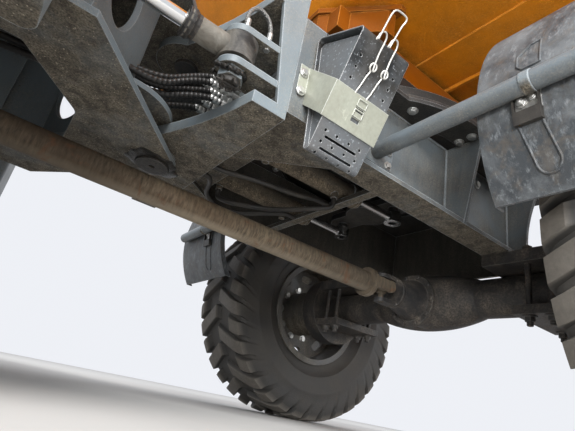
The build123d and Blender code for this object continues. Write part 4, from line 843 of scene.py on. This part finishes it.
def wrapped_hose(path, pitch=0.013):
    """Hose in a spiral wrap: its radius swells along a helix of the pitch, by a seventh of itself."""
    run = np.concatenate([[0], np.cumsum(np.linalg.norm(np.diff(path, axis=0), axis=1))])
    around = np.linspace(0, 2 * np.pi, 12, endpoint=False)
    swell = 1 + 0.15 * np.maximum(0, np.cos(2 * np.pi * run[:, None] / pitch - around[None]))
    return swept(path, circle(HOSE_R, 12), hint=(0, 0.2, 1), swell=swell)


def hose_end(place, way, r=HOSE_R):
    """Crimped ferrule with rings, and a hexagon union nut, for a hose of radius r."""
    ferrule = turned([(0, -0.030), (1.12 * r, -0.030), (1.30 * r, -0.028), (1.30 * r, -0.020),
                      (1.18 * r, -0.018), (1.30 * r, -0.016), (1.30 * r, -0.008), (1.18 * r, -0.006),
                      (1.30 * r, -0.004), (1.30 * r, 0.0), (0.85 * r, 0.003), (0.85 * r, 0.010),
                      (0, 0.010)], 20)
    union = turned([(0, 0.006), (1.35 * r, 0.006), (1.55 * r, 0.009), (1.55 * r, 0.022), (1.35 * r, 0.025),
                    (0, 0.025)], 6)
    return stamped(joined([ferrule, union]), [place], way)


def pivot_hose_route(start, y0, z0, y1, z1, y2, z2, dip):
    """A hose's points from its union at start: down from the plate, over the pivot, level to the gearbox."""
    return [spot(start - 0.004, y0, z0), spot(start - 0.035, y0, z0 - 0.004),
            spot(start - 0.085, y0 - 0.006, 0.6 * z0 + 0.4 * z1), spot(-1.340, y1, z1),
            spot(-1.460, y1 + dip, z1 - 0.004), spot(-1.620, 0.5 * (y1 + y2) - dip, 0.5 * (z1 + z2) - 0.014),
            spot(-1.800, y2 + dip, z2 - 0.010), spot(-1.920, y2, z2), spot(GEARBOX_X + 0.030, y2, z2)]


def add_pivot_hoses():
    """Eight wrapped hoses from a plate on the bulkhead over the pivot to the gearbox."""
    hoses, ends_here, ends_there = [], [], []
    for k, ((y0, z0), (y1, z1), (y2, z2)) in enumerate(PIVOT_HOSES):
        start = HOSE_PLATE_X - 0.052 - 0.010 * (k % 3)
        route = pivot_hose_route(start, y0, z0, y1, z1, y2, z2, dip=0.012 * math.sin(1.9 * k))
        adapter = turned([(0, 0.024), (0.008, 0.024), (0.008, 0.030), (0.0125, 0.030), (0.0125, 0.040),
                          (0.007, 0.042), (0.007, HOSE_PLATE_X - 0.001 - start), (0, 0.05)], 6)
        hoses.append(wrapped_hose(smooth_path(route, 420)))
        ends_here += [hose_end(spot(start, y0, z0), AHEAD), stamped(adapter, [spot(start, y0, z0)], AHEAD)]
        ends_there.append(hose_end(spot(GEARBOX_X + 0.026, y2, z2), BACK))
    piece = add_piece("pivot_hoses", joined(hoses), "wrap_black", None, smooth_to=60)
    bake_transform(piece)
    add_piece("hose_unions_front", joined(ends_here), "bright_steel", "root")
    add_piece("hose_unions_rear", joined(ends_there), "bright_steel", "engine_half")


def add_hose_plate():
    """Plate with two cut corners that carries the hoses' adapters."""
    low, high, left, right, thick, cut = 0.762, 0.895, -0.040, -0.195, 0.004, 0.020
    corners = [(left, low), (left, high - cut), (left - cut, high), (right + cut, high), (right, high - cut),
               (right, low)]
    faces = [[spot(x, y, z) for y, z in corners] for x in (HOSE_PLATE_X, HOSE_PLATE_X + thick)]
    add_piece("hose_plate", grid(capped(np.array(faces))), "frame_paint", "root")


def add_grease_lines():
    """Braided lubrication hose from each steering pin up and over to the lug in front of it."""
    radius = 0.0055
    for hand, s in SIDES:
        y = s * 0.400
        route = [spot(-1.240, y, 0.822), spot(-1.245, y, 0.850), spot(-1.243, y, 0.880),
                 spot(-1.222, y, 0.905), spot(-1.192, y, 0.893), spot(-1.178, y, 0.862),
                 spot(-1.178, y, 0.824)]
        line = swept(smooth_path(route, 60), circle(radius, 12), hint=(0, 1, 0))
        add_piece(f"lubrication_hose_{hand}", line, "braid", "root")
        ends = joined([hose_end(route[0], DOWN, radius), hose_end(route[-1], DOWN, radius)])
        add_piece(f"lubrication_unions_{hand}", ends, "bright_steel", "root")


# Wheel chock
CHOCK_TIP = spot(-0.981, -0.450, RAIL_Z - 0.125)
CHOCK_UP = np.array((0, -0.150, 0.295)) / math.hypot(0.150, 0.295)
CHOCK_OUT = np.array((0, -CHOCK_UP[2], CHOCK_UP[1]))
WIRE_R = 0.0021


def on_chock(across, up, out):
    """A place on the chock's perforated face: along the machine, up the face and out from it."""
    return np.array(CHOCK_TIP) + np.array((across, 0, 0)) + up * CHOCK_UP + out * CHOCK_OUT


def wire(points, count):
    """Round spring wire along the points."""
    return swept(smooth_path(points, count), circle(WIRE_R, 10), hint=CHOCK_OUT)


def wire_eye(across, up, radius=0.0095, rows=28):
    """Spring eye of a wire: a flattened turn in the chock's face that climbs by its own thickness."""
    angle = 2 * math.pi * np.linspace(-0.25, 0.75, rows)
    return [on_chock(across - 0.8 * radius * math.cos(a), up + radius * math.sin(a),
                     0.006 + 0.006 * a / (2 * math.pi)) for a in angle]


def add_wire_clip():
    """Spring wire that locks the chock: two legs with eyes, hooked over its top edge to a bail."""
    parts = []
    for left, lift in ((-0.026, 0.000), (0.009, 0.002)):
        foot = [(0.0, 0.196, 0.002), (0.003, 0.215, 0.006), (0.006, 0.238, 0.006)]
        hook = [(0.008, 0.292, 0.010), (0.010, 0.318, 0.010), (0.008, 0.334, 0.012), (-0.002, 0.341, 0.014),
                (-0.011, 0.334, 0.012), (-0.012, 0.322, 0.010)]
        leg = [on_chock(left + a, up, out) for a, up, out in foot]
        leg += wire_eye(left + 0.012, 0.262 + lift)
        leg += [on_chock(left + a, up + lift, out) for a, up, out in hook]
        parts.append(wire(leg, 150))
    bail = [(-0.038, 0.326, 0.016), (-0.038, 0.345, 0.018), (-0.037, 0.374, 0.019), (-0.033, 0.388, 0.019),
            (-0.024, 0.393, 0.019), (-0.004, 0.394, 0.019), (0.004, 0.392, 0.019), (0.006, 0.384, 0.019),
            (0.001, 0.372, 0.019), (-0.001, 0.345, 0.018), (-0.002, 0.326, 0.016)]
    parts.append(wire([on_chock(*place) for place in bail], 80))
    add_piece("chock_wire_clip", joined(parts), "clip_wire", "root")


def add_slot_frames():
    """Two bent wire frames round the slots of the chock's holder."""
    frames = []
    for up in (0.1560, 0.1800):
        corners = [on_chock(0.004 + a, up + b, 0.004) for a, b in
                   ((-0.013, -0.008), (0.013, -0.008), (0.013, 0.008), (-0.013, 0.008), (-0.013, -0.008))]
        frames.append(swept(straight_path(corners, 6), circle(0.0020, 8), hint=CHOCK_OUT))
    add_piece("holder_slot_frames", joined(frames), "zinc_sheet", "root")


# Welds
WELD_R = 0.0045


def weld(start, end):
    """Weld bead: a round bar half sunk in the corner, rippled along its run every 5 mm."""
    start, end = np.array(start, float), np.array(end, float)
    length = np.linalg.norm(end - start)
    count = max(8, int(length / 0.0018))
    number = np.arange(count)
    ripple = 1 + 0.13 * np.abs(np.sin(number * 1.15)) + 0.06 * np.sin(number * 0.23)
    taper = np.minimum(1, np.minimum(number, number[::-1]) / 4 + 0.35)
    hint = UP if abs(end[2] - start[2]) < 0.7 * length else AHEAD
    return swept(np.linspace(start, end, count), circle(WELD_R, 8), hint,
                 swell=np.broadcast_to((ripple * taper)[:, None], (count, 8)))


def front_welds(s):
    """Seams of the front frame on the side s, each a start and an end counted from the front axle."""
    web_top, back, end = DECK_Z - 0.001, -1.030, -1.114
    seams = []
    for x in (-0.400, -0.388, -0.020, -0.008):
        seams += [((x, s * 0.338, RAIL_FLANGE_TOP), (x, s * 0.338, web_top)),
                  ((x, s * 0.338, RAIL_FLANGE_TOP), (x, s * 0.405, RAIL_FLANGE_TOP))]
    seams += [((back, s * RAIL_WEB_Y, RAIL_FLANGE_TOP), (0.128, s * RAIL_WEB_Y, RAIL_FLANGE_TOP)),
              ((back, s * 0.324, RAIL_FLANGE_TOP), (0.120, s * 0.324, RAIL_FLANGE_TOP)),
              ((back, s * RAIL_WEB_Y, web_top), (0.120, s * RAIL_WEB_Y, web_top)),
              ((back, s * 0.410, RAIL_FLANGE_TOP), (back, s * 0.410, web_top))]
    seams += [((x, s * 0.335, z), (x, s * 0.405, z))
              for x, z in ((end, 0.803), (end, 0.727), (-1.115, 0.709))]
    seams += [((end, s * 0.406, DECK_Z + 0.030), (end, s * 0.406, DECK_Z + 0.128)),
              ((end, s * 0.406, RAIL_Z + 0.010), (end, s * 0.406, DECK_Z - 0.002)),
              ((end, s * 0.050, RAIL_Z + 0.007), (end, s * 0.406, RAIL_Z + 0.007)),
              ((-1.100, s * 0.020, RAIL_Z - 0.001), (-1.100, s * 0.410, RAIL_Z - 0.001))]
    return seams


def rear_welds(s):
    """Seams of the rear frame on the side s, each a start and an end."""
    low = RAIL_Z - 0.060 + 0.016
    high, web_z = low + 0.350, AXLE_Z + 0.099
    front_x, back_x = PIVOT_X - 0.152, PIVOT_X - 0.285
    seams = [((front_x, s * 0.160, z), (back_x, s * 0.325, z)) for z in (low, high)]
    return seams + [((back_x, s * 0.332, low), (PIVOT_X - 0.438, s * 0.332, low)),
                    ((REAR_X + 0.70, s * 0.286, web_z), (REAR_X - 0.69, s * 0.286, web_z))]


def add_welds():
    """Beads where the plates of the two half frames meet."""
    front = [weld(spot(*start), spot(*end)) for s in (1, -1) for start, end in front_welds(s)]
    rear = [weld(start, end) for s in (1, -1) for start, end in rear_welds(s)]
    add_piece("frame_welds_front", joined(front), "weld_bead", "root")
    add_piece("frame_welds_rear", joined(rear), "weld_bead", "engine_half")


# Front mudguards
GUARD_X, GUARD_Z = FRONT_X - 0.283, AXLE_Z + 0.2496      # axis of their round backs
GUARD_R = 0.434


def guard_point(y, z, out=0.0):
    """A place on the round back of a front mudguard, out from it by out."""
    rise = (z - GUARD_Z) / GUARD_R
    return (GUARD_X - (GUARD_R + out) * math.sqrt(1 - rise * rise), y, GUARD_Z + (GUARD_R + out) * rise)


def guard_patch(y0, y1, z0, z1, thick):
    """A sheet bent to the mudguard's round back between two heights and two sides, thick out from it."""
    across = np.linspace(y0, y1, 8)
    rows = [[guard_point(y, z, thick) for y in across] + [guard_point(y, z, 0.0004) for y in across[::-1]]
            for z in np.linspace(z0, z1, 14)]
    return grid(capped(np.array(rows)))


def guard_bead(places, radius):
    """A bead over the mudguard's round back through places given as (y, z)."""
    return swept(np.array([guard_point(y, z, 0.001) for y, z in places]), circle(radius, 8), hint=AHEAD)


def add_guard_clamps():
    """Clamp tray, rubber block and two bolts on each front mudguard."""
    for hand, s in SIDES:
        tray = guard_patch(s * 0.738, s * 0.799, 0.718, 0.762, 0.004)
        block = [guard_patch(s * 0.739, s * 0.798, 0.690, 0.719, 0.016),
                 guard_patch(s * 0.739, s * 0.743, 0.718, 0.760, 0.014),
                 guard_patch(s * 0.794, s * 0.798, 0.718, 0.760, 0.014)]
        bolts = []
        for y, z, shape in ((s * 0.757, 0.742, nut_on_stud(0.020, 0.009, 0.005, 0.005)),
                            (s * 0.781, 0.747, bolt(0.015, 0.007))):
            here, further = np.array(guard_point(y, z, 0.004)), np.array(guard_point(y, z, 0.014))
            bolts.append(stamped(shape, [here], further - here))
        add_piece(f"guard_tray_{hand}", tray, "bright_steel", "root")
        add_piece(f"guard_block_{hand}", joined(block), "hose_rubber", "root")
        add_piece(f"guard_bolts_{hand}", joined(bolts), "bright_steel", "root")


def add_guard_pressings():
    """Two outlines pressed in each front mudguard: a tongue with a round end, and a box with cut corners."""
    angle = np.linspace(0, np.pi, 16)
    tongue = [(0.744, 0.690), (0.753, 0.650)]
    tongue += [(0.787 - 0.025 * math.cos(a), 0.607 - 0.025 * math.sin(a)) for a in angle]
    tongue += [(0.803, 0.650), (0.794, 0.690)]
    box = straight_path([(0.748, 0.851), (0.748, 0.884), (0.776, 0.912), (0.800, 0.912), (0.800, 0.838),
                         (0.760, 0.838), (0.748, 0.851)], 10)
    for hand, s in SIDES:
        lines = [guard_bead(np.array(tongue) * (s, 1), 0.0030), guard_bead(box * (s, 1), 0.0026)]
        add_piece(f"guard_pressing_{hand}", joined(lines), "pressing", "root")


def add_tube_bands():
    """Band round each mudguard tube, and the cap in its outer end."""
    band = turned([(0.0242, -0.012), (0.0262, -0.011), (0.0262, 0.011), (0.0242, 0.012),
                   (0.0242, -0.012)], 36)
    cap = turned([(0, -0.001), (0.0238, -0.001), (0.0238, 0.0015), (0.020, 0.003), (0, 0.003)], 28)
    for hand, s in SIDES:
        parts = [stamped(band, [spot(TUBE_X, s * 0.785, TUBE_Z)], (0, s, 0)),
                 stamped(cap, [spot(TUBE_X, s * (WHEEL_Y + 0.145), TUBE_Z)], (0, s, 0))]
        add_piece(f"tube_band_{hand}", joined(parts), "frame_paint", "root")


# Seat
SEAT_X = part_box("seat")[0].x + 0.040
SEAT_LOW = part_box("seat")[0].z
PAN_X = SEAT_X + 0.230       # middle of the lower cushion


def superellipse(half_x, half_y, power, count):
    """Outline |x/a|^n + |y/b|^n = 1 round its middle."""
    angle = np.linspace(0, 2 * np.pi, count, endpoint=False)
    c, s = np.cos(angle), np.sin(angle)
    x = half_x * np.sign(c) * np.abs(c) ** (2 / power)
    y = half_y * np.sign(s) * np.abs(s) ** (2 / power)
    return np.stack([x, y], axis=-1)


def cushion_edge(half_x, half_y, power):
    """A cushion's outline, whose sides pull in between its corners by a cosine."""
    turn = np.linspace(0, 2 * np.pi, 120, endpoint=False)
    return superellipse(half_x, half_y, power, 120) * (1 - 0.022 * np.cos(2 * turn) ** 2)[:, None]


def seam(distance, depth, width=0.006):
    """Depth of a sewn groove, falling as a bell curve away from distance 0."""
    return depth * np.exp(-(distance / width) ** 2)


def seat_pan():
    """Lower cushion: shrinking copies of its edge, raised to a crowned top with two long seams
    and a cross seam."""
    edge, brow, crown = cushion_edge(0.208, 0.248, 5), 0.094, 0.016
    rings = [(0.0, 0.0), (0.90, 0.0), (0.97, 0.006), (1.0, 0.030), (1.0, 0.070), (0.985, 0.084), (0.95, brow)]
    rings += [(k, brow + crown * (1 - (k / 0.95) ** 2)) for k in np.linspace(0.92, 0.0, 20)]
    rows = []
    for scale, height in rings:
        x, y = (edge * scale).T
        sewn = seam(np.abs(y) - 0.150, 0.007) + seam(x + 0.02, 0.005) * (np.abs(y) < 0.150)
        z = SEAT_LOW + 0.040 + height - sewn * (height > 0.090)
        rows.append(np.stack([PAN_X + x, y, z], axis=-1))
    return grid(np.stack(rows))


def seat_back():
    """Upper cushion and its piped edge: copies of an outline from the front's middle out and round to the
    back, on two parabolas of the height that lean it back."""
    edge = cushion_edge(0.5, 0.238, 4)
    rings = [(k, 0.0) for k in np.linspace(0, 0.93, 20)]         # scale, share of the way to the back
    rings += [(0.97, 0.08), (0.995, 0.22), (1.0, 0.5), (0.99, 0.85), (0.96, 0.97), (0.85, 1.0),
              (0.4, 1.0), (0.0, 1.0)]
    rows = []
    for scale, share in rings:
        t, y = 0.5 + edge[:, 0] * scale, edge[:, 1] * scale
        front = 0.110 - 0.126 * t + 0.046 * t * t - 0.012 * scale ** 3
        back = 0.020 - 0.1374 * t + 0.0774 * t * t
        x = SEAT_X + (1 - share) * front + share * back - seam(np.abs(y) - 0.140, 0.010) * (share == 0)
        rows.append(np.stack([x, y, SEAT_LOW + 0.140 + 0.458 * t], axis=-1))
    return grid(np.stack(rows)), rows[21]


def seat_box():
    """Plain box under the lower cushion."""
    x, y = superellipse(0.195, 0.198, 12, 48).T
    rows = [np.stack(np.broadcast_arrays(PAN_X - 0.005 + x * k, y * k, SEAT_LOW + height), axis=-1)
            for k, height in ((0, 0.0005), (1, 0.0005), (1, 0.041), (0, 0.041))]
    return grid(np.stack(rows))


def piping(loop):
    """Round cord sewn along a closed loop of points."""
    return swept(np.vstack([loop, loop[:2]]), circle(0.0032, 8), hint=(0.3, 0.1, 1))


def add_seat():
    """Two vinyl cushions with seams and piped edges on a plain box, in place of the plain seat."""
    x, y = cushion_edge(0.207, 0.247, 5).T
    pan_edge = np.stack(np.broadcast_arrays(PAN_X + x, y, SEAT_LOW + 0.122), axis=-1)
    back, back_edge = seat_back()
    for name, shape, slot, smooth_to, soft in (
            ("seat_pan", seat_pan(), "seat_vinyl", 60, True),
            ("seat_back", back, "seat_vinyl", 60, True),
            ("seat_piping", joined([piping(pan_edge), piping(back_edge)]), "seat_vinyl", 50, False),
            ("seat_box", seat_box(), "axle_iron", 30, False)):
        piece = add_piece(name, shape, slot, "engine_half", smooth_to=smooth_to)
        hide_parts("seat")


# Platform and dashboard
CONSOLE_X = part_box("headlamps")[0].x + 0.080
DASH_TOP = PLATFORM_Z + 0.480
DASH_OUT = np.array((-0.080, 0, 0.120)) / math.hypot(0.080, 0.120)      # square to the dashboard's face
DASH_UP = np.array((DASH_OUT[2], 0, -DASH_OUT[0]))                      # up its slope
TREAD_PITCH = 0.030


def add_tread_plate():
    """Raised bars of the platform's tread plate, in turns along and across, 1.5 mm high."""
    points, quads = turned([(1.0, -0.2), (0.62, 0.9), (0, 1.0)], 8)
    x, y = np.meshgrid(np.arange(-1.160, -0.575, TREAD_PITCH), np.arange(-0.585, 0.590, TREAD_PITCH),
                       indexing="ij")
    under_console = (-1.030 < x) & (x < -0.868) & (np.abs(y) < 0.305)
    under_grab_rails = (np.abs(np.abs(y) - 0.555) < 0.022) & (x < -0.84) & (x > -1.01)
    bare = ~(under_console | under_grab_rails)
    x, y = x[bare], y[bare]
    number = np.round(x / TREAD_PITCH).astype(int) + np.round(y / TREAD_PITCH).astype(int)
    places = np.stack(np.broadcast_arrays(x, y, PLATFORM_Z + 0.008), axis=-1)
    bars = [stamped((points * size, quads), places[number % 2 == parity], UP, -math.pi / 4)
            for parity, size in ((0, (0.012, 0.0035, 0.0015)), (1, (0.0035, 0.012, 0.0015)))]
    add_piece("platform_tread", joined(bars), "frame_paint", "engine_half")


def on_dash(across, up=0.0):
    """A place on the dashboard's slanted face: across the machine and up the slope."""
    return np.array((CONSOLE_X - 0.120, across, DASH_TOP - 0.020)) + up * DASH_UP


def add_dials():
    """Three round dials with bright rings and thin needles."""
    places = [on_dash(-0.150, 0.012), on_dash(0.150, 0.012), on_dash(0.225)]
    ring = turned([(0.0, 0.004), (0.030, 0.004), (0.030, 0.007), (0.033, 0.008), (0.036, 0.006),
                   (0.036, -0.002)], 40)
    face = turned([(0.0, 0.0052), (0.0300, 0.0052), (0.0300, 0.0035)], 40)
    hub = turned([(0.0045, 0.0052), (0.0045, 0.0070), (0.0, 0.0075)], 16)
    pointer = np.array([(-0.001, -0.004, 0.0058), (0.001, -0.004, 0.0058), (0.0006, 0.022, 0.0058),
                        (-0.0006, 0.022, 0.0058)])
    needle = joined([hub, (pointer, np.array([[0, 1, 2, 3]]))])
    add_piece("dial_rings", stamped(ring, places, DASH_OUT), "bright_steel", "engine_half")
    add_piece("dial_faces", stamped(face, places, DASH_OUT), "dial", "engine_half")
    add_piece("dial_needles", stamped(needle, places, DASH_OUT, 0.6), "clip_wire", "engine_half")


def add_switches():
    """Eight warning lamps and the ignition switch with its key."""
    places = [on_dash(across, up) for up in (-0.040, -0.018) for across in (0.075, 0.095, -0.075, -0.095)]
    dome = turned([(0.0058, -0.001), (0.0058, 0.002), (0.0045, 0.0042), (0.0, 0.0052)], 20)
    add_piece("dash_lamps", stamped(dome, places, DASH_OUT), "tail_lens", "engine_half")
    barrel = turned([(0.014, -0.001), (0.014, 0.004), (0.010, 0.006), (0.0, 0.006)], 28)
    points, quads = turned([(0.003, 0.004), (0.003, 0.018), (0.010, 0.020), (0.010, 0.036), (0.0, 0.037)], 4)
    key = (points * (1, 0.35, 1), quads)
    switch = stamped(joined([barrel, key]), [on_dash(0.130, -0.042)], DASH_OUT)
    add_piece("ignition_switch", switch, "bright_steel", "engine_half")


def add_gaiters():
    """Pleated rubber gaiters of the lever and the steering column, and the steering wheel's centre cap."""
    folds = [(0.040, -0.004), (0.040, 0.004)]
    folds += [(0.034 - 0.0035 * k - 0.006 * (k % 2), 0.008 + 0.007 * k) for k in range(8)] + [(0.0068, 0.064)]
    lever_way = (-0.035, -0.005, 0.180)
    gaiter = stamped(turned(folds, 28), [(CONSOLE_X - 0.0945, -0.2406, DASH_TOP + 0.001)], lever_way)
    add_piece("lever_gaiter", gaiter, "hose_rubber", "engine_half")
    foot = on_dash(0)
    cap = turned([(0.0405, -0.006), (0.0405, 0.001), (0.036, 0.006), (0.030, 0.0075), (0.029, 0.0065),
                  (0.0, 0.0095)], 40)
    boot = turned([(0.034, 0.0), (0.034, 0.010), (0.026, 0.016), (0.029, 0.022), (0.022, 0.028),
                   (0.025, 0.034), (0.0185, 0.042)], 32)
    add_piece("steering_cap", stamped(cap, [foot + 0.1655 * DASH_OUT], DASH_OUT), "black_plastic",
              "engine_half")
    add_piece("column_boot", stamped(boot, [foot - 0.001 * DASH_OUT], DASH_OUT), "hose_rubber", "engine_half")


# Lamps and covers
def lamp_places(node):
    """Middles of the back faces of a left and a right lamp of 120 mm."""
    low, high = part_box(node)
    return [(low.x, s * (high.y - 0.060), (low.z + high.z) / 2) for s in (1, -1)]


def add_lamps():
    """Black housings round the headlamps and red lenses on the tail lamps' backs."""
    shell = turned([(0.0, -0.001), (0.035, -0.001), (0.0555, 0.036), (0.0618, 0.039), (0.0618, 0.0615),
                    (0.0530, 0.0625), (0.0520, 0.0560)], 48)
    ring = turned([(0.0, -0.008), (0.058, -0.008), (0.058, 0.004), (0.054, 0.006), (0.052, 0.002),
                   (0.0, 0.002)], 48)
    dome = turned([(0.052, 0.000), (0.050, 0.006), (0.040, 0.011), (0.020, 0.0145), (0.0, 0.0155)], 48)
    tail = lamp_places("tail_lamps")
    shells = stamped(shell, lamp_places("headlamps"), AHEAD)
    add_piece("headlamp_shells", shells, "black_plastic", "engine_half")
    add_piece("tail_lamp_rings", stamped(ring, tail, BACK), "black_plastic", "engine_half")
    add_piece("tail_lamp_lenses", stamped(dome, tail, BACK), "tail_lens", "engine_half")


def add_cover_screws():
    """A row of screws along the foot of each side of the engine cover."""
    low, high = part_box("engine_cover")
    for hand, s in SIDES:
        places = [(x, s * 0.430, COVER_LOW + 0.020) for x in np.arange(low.x + 0.06, high.x - 0.03, 0.145)]
        screws = stamped(bolt(0.014, 0.005), places, (0, s, 0))
        add_piece(f"cover_screws_{hand}", screws, "bright_steel", "engine_half")


def add_tank_caps():
    """Ribbed round cap on each tank, over the step and clear of the platform's side."""
    angle = np.linspace(0, 2 * np.pi, 96, endpoint=False)
    ribs = np.sin(24 * angle)
    lobes = 1 + 0.035 * np.sign(ribs) * np.abs(ribs) ** 0.5
    profile = [(0.0, 0.0), (0.040, 0.0), (0.040, 0.026), (0.036, 0.031), (0.018, 0.0325), (0.0, 0.0325)]
    for node in ("fuel_tank", "hydraulic_tank"):
        low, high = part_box(node)
        cap_x, base = (low.x + high.x) / 2, high.z - 0.030
        cap_y = high.y - 0.130 if low.y > 0 else low.y + 0.130
        rows = [level_ring(cap_x, cap_y, base + height, radius * lobes, angle) for radius, height in profile]
        add_piece(f"{node}_cap", grid(np.stack(rows)), "black_plastic", "engine_half")


def add_rod_glands():
    """Stepped gland ring where each steering rod's sleeve begins."""
    gland = turned([(0.0285, -0.001), (0.0355, 0.000), (0.0355, 0.005), (0.0335, 0.006), (0.0335, 0.009),
                    (0.0355, 0.010), (0.0355, 0.016), (0.0335, 0.018), (0.0300, 0.024), (0.0300, 0.030),
                    (0.0285, 0.031)], 12)
    for hand, s in SIDES:
        place = spot(STEER_PIN_X - 0.135, s * STEER_PIN_Y, RAIL_Z + 0.105)
        add_piece(f"rod_gland_{hand}", stamped(gland, [place], AHEAD), "axle_iron", f"steer_rod_{hand}",
                  smooth_to=25)


def add_bonnet_handle():
    """Bent bar on two feet across the bonnet's free edge."""
    low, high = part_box("bonnet")
    x, z, half = high.x, (low.z + high.z) / 2, 0.075
    # places out from the edge, and across from the bar's middle
    bend = [(-0.002, half), (0.012, half), (0.024, 0.062), (0.026, 0.030)]
    route = [(x + out, -y, z) for out, y in bend] + [(x + out, y, z) for out, y in bend[::-1]]
    feet = turned([(0.0, -0.001), (0.014, -0.001), (0.014, 0.003), (0.0075, 0.005)], 20)
    parts = [swept(smooth_path(route, 48), circle(0.0055, 12)),
             stamped(feet, [(x, -half, z), (x, half, z)], AHEAD)]
    add_piece("bonnet_handle", joined(parts), "black_plastic", "bonnet")


# Stage
FLOOR_HALF = 30.0
SKY_LIGHT, SKY_SEEN = 0.95, 0.92
SKY_COLOUR = (0.93, 0.95, 1.0, 1)
LAMPS = (                    # name, place, what it looks at, watts, width
    ("key_lamp", (-6.5, -11.0, 9.0), (0, 0, 0.8), 3000, 6.0),
    ("fill_lamp", (11.0, -9.0, 5.0), (0.6, 0, 0.8), 450, 8.0),
    ("low_lamp", (-3.2, -4.0, 0.45), (0.3, 0, 0.8), 250, 1.6),
)


def add_sky():
    """Even pale sky, a little darker where the camera or a mirror sees it than in the light it gives."""
    world = bpy.data.worlds.new("pale_studio")
    world.use_nodes = True
    tree = world.node_tree
    background = tree.nodes["Background"]
    background.inputs["Color"].default_value = SKY_COLOUR
    ray = tree.nodes.new("ShaderNodeLightPath")
    seen = tree.nodes.new("ShaderNodeMath")
    seen.operation = "MAXIMUM"
    tree.links.new(ray.outputs["Is Camera Ray"], seen.inputs[0])
    tree.links.new(ray.outputs["Is Glossy Ray"], seen.inputs[1])
    strength = tree.nodes.new("ShaderNodeMapRange")
    strength.inputs["To Min"].default_value = SKY_LIGHT
    strength.inputs["To Max"].default_value = SKY_SEEN
    tree.links.new(seen.outputs["Value"], strength.inputs["Value"])
    tree.links.new(strength.outputs["Result"], background.inputs["Strength"])
    bpy.context.scene.world = world


def add_floor():
    """Large pale square."""
    a = FLOOR_HALF
    mesh = bpy.data.meshes.new("floor")
    mesh.from_pydata([(-a, -a, 0), (a, -a, 0), (a, a, 0), (-a, a, 0)], [], [(0, 1, 2, 3)])
    floor = bpy.data.objects.new("floor", mesh)
    bpy.context.scene.collection.objects.link(floor)
    f = Finish("pale_floor")
    mesh.materials.append(f.finish(f.blend(f.noise(4.0, 5), (0.56, 0.55, 0.53), (0.62, 0.61, 0.59)), 0.85))


def add_lights():
    """Three large soft lamps that the camera doesn't see."""
    for name, at, aim, power, side in LAMPS:
        data = bpy.data.lights.new(name, "AREA")
        data.energy = power
        data.size = side
        lamp = bpy.data.objects.new(name, data)
        bpy.context.scene.collection.objects.link(lamp)
        lamp.visible_camera = False
        turn = (Vector(aim) - Vector(at)).to_track_quat("-Z", "Y").to_matrix().to_4x4()
        lamp.matrix_world = Matrix.Translation(Vector(at)) @ turn


bpy.context.scene.view_settings.view_transform = "Standard"
dress_nodes()
add_camera()
add_sky()
add_floor()
add_lights()
add_tyres()
add_wheel_nuts()
add_bolts()
add_castle_nuts()
add_grease_ring()
add_pivot_hoses()
add_hose_plate()
add_grease_lines()
add_wire_clip()
add_slot_frames()
add_welds()
add_guard_clamps()
add_guard_pressings()
add_tube_bands()
add_seat()
add_tread_plate()
add_dials()
add_switches()
add_gaiters()
add_lamps()
add_cover_screws()
add_tank_caps()
add_rod_glands()
add_bonnet_handle()
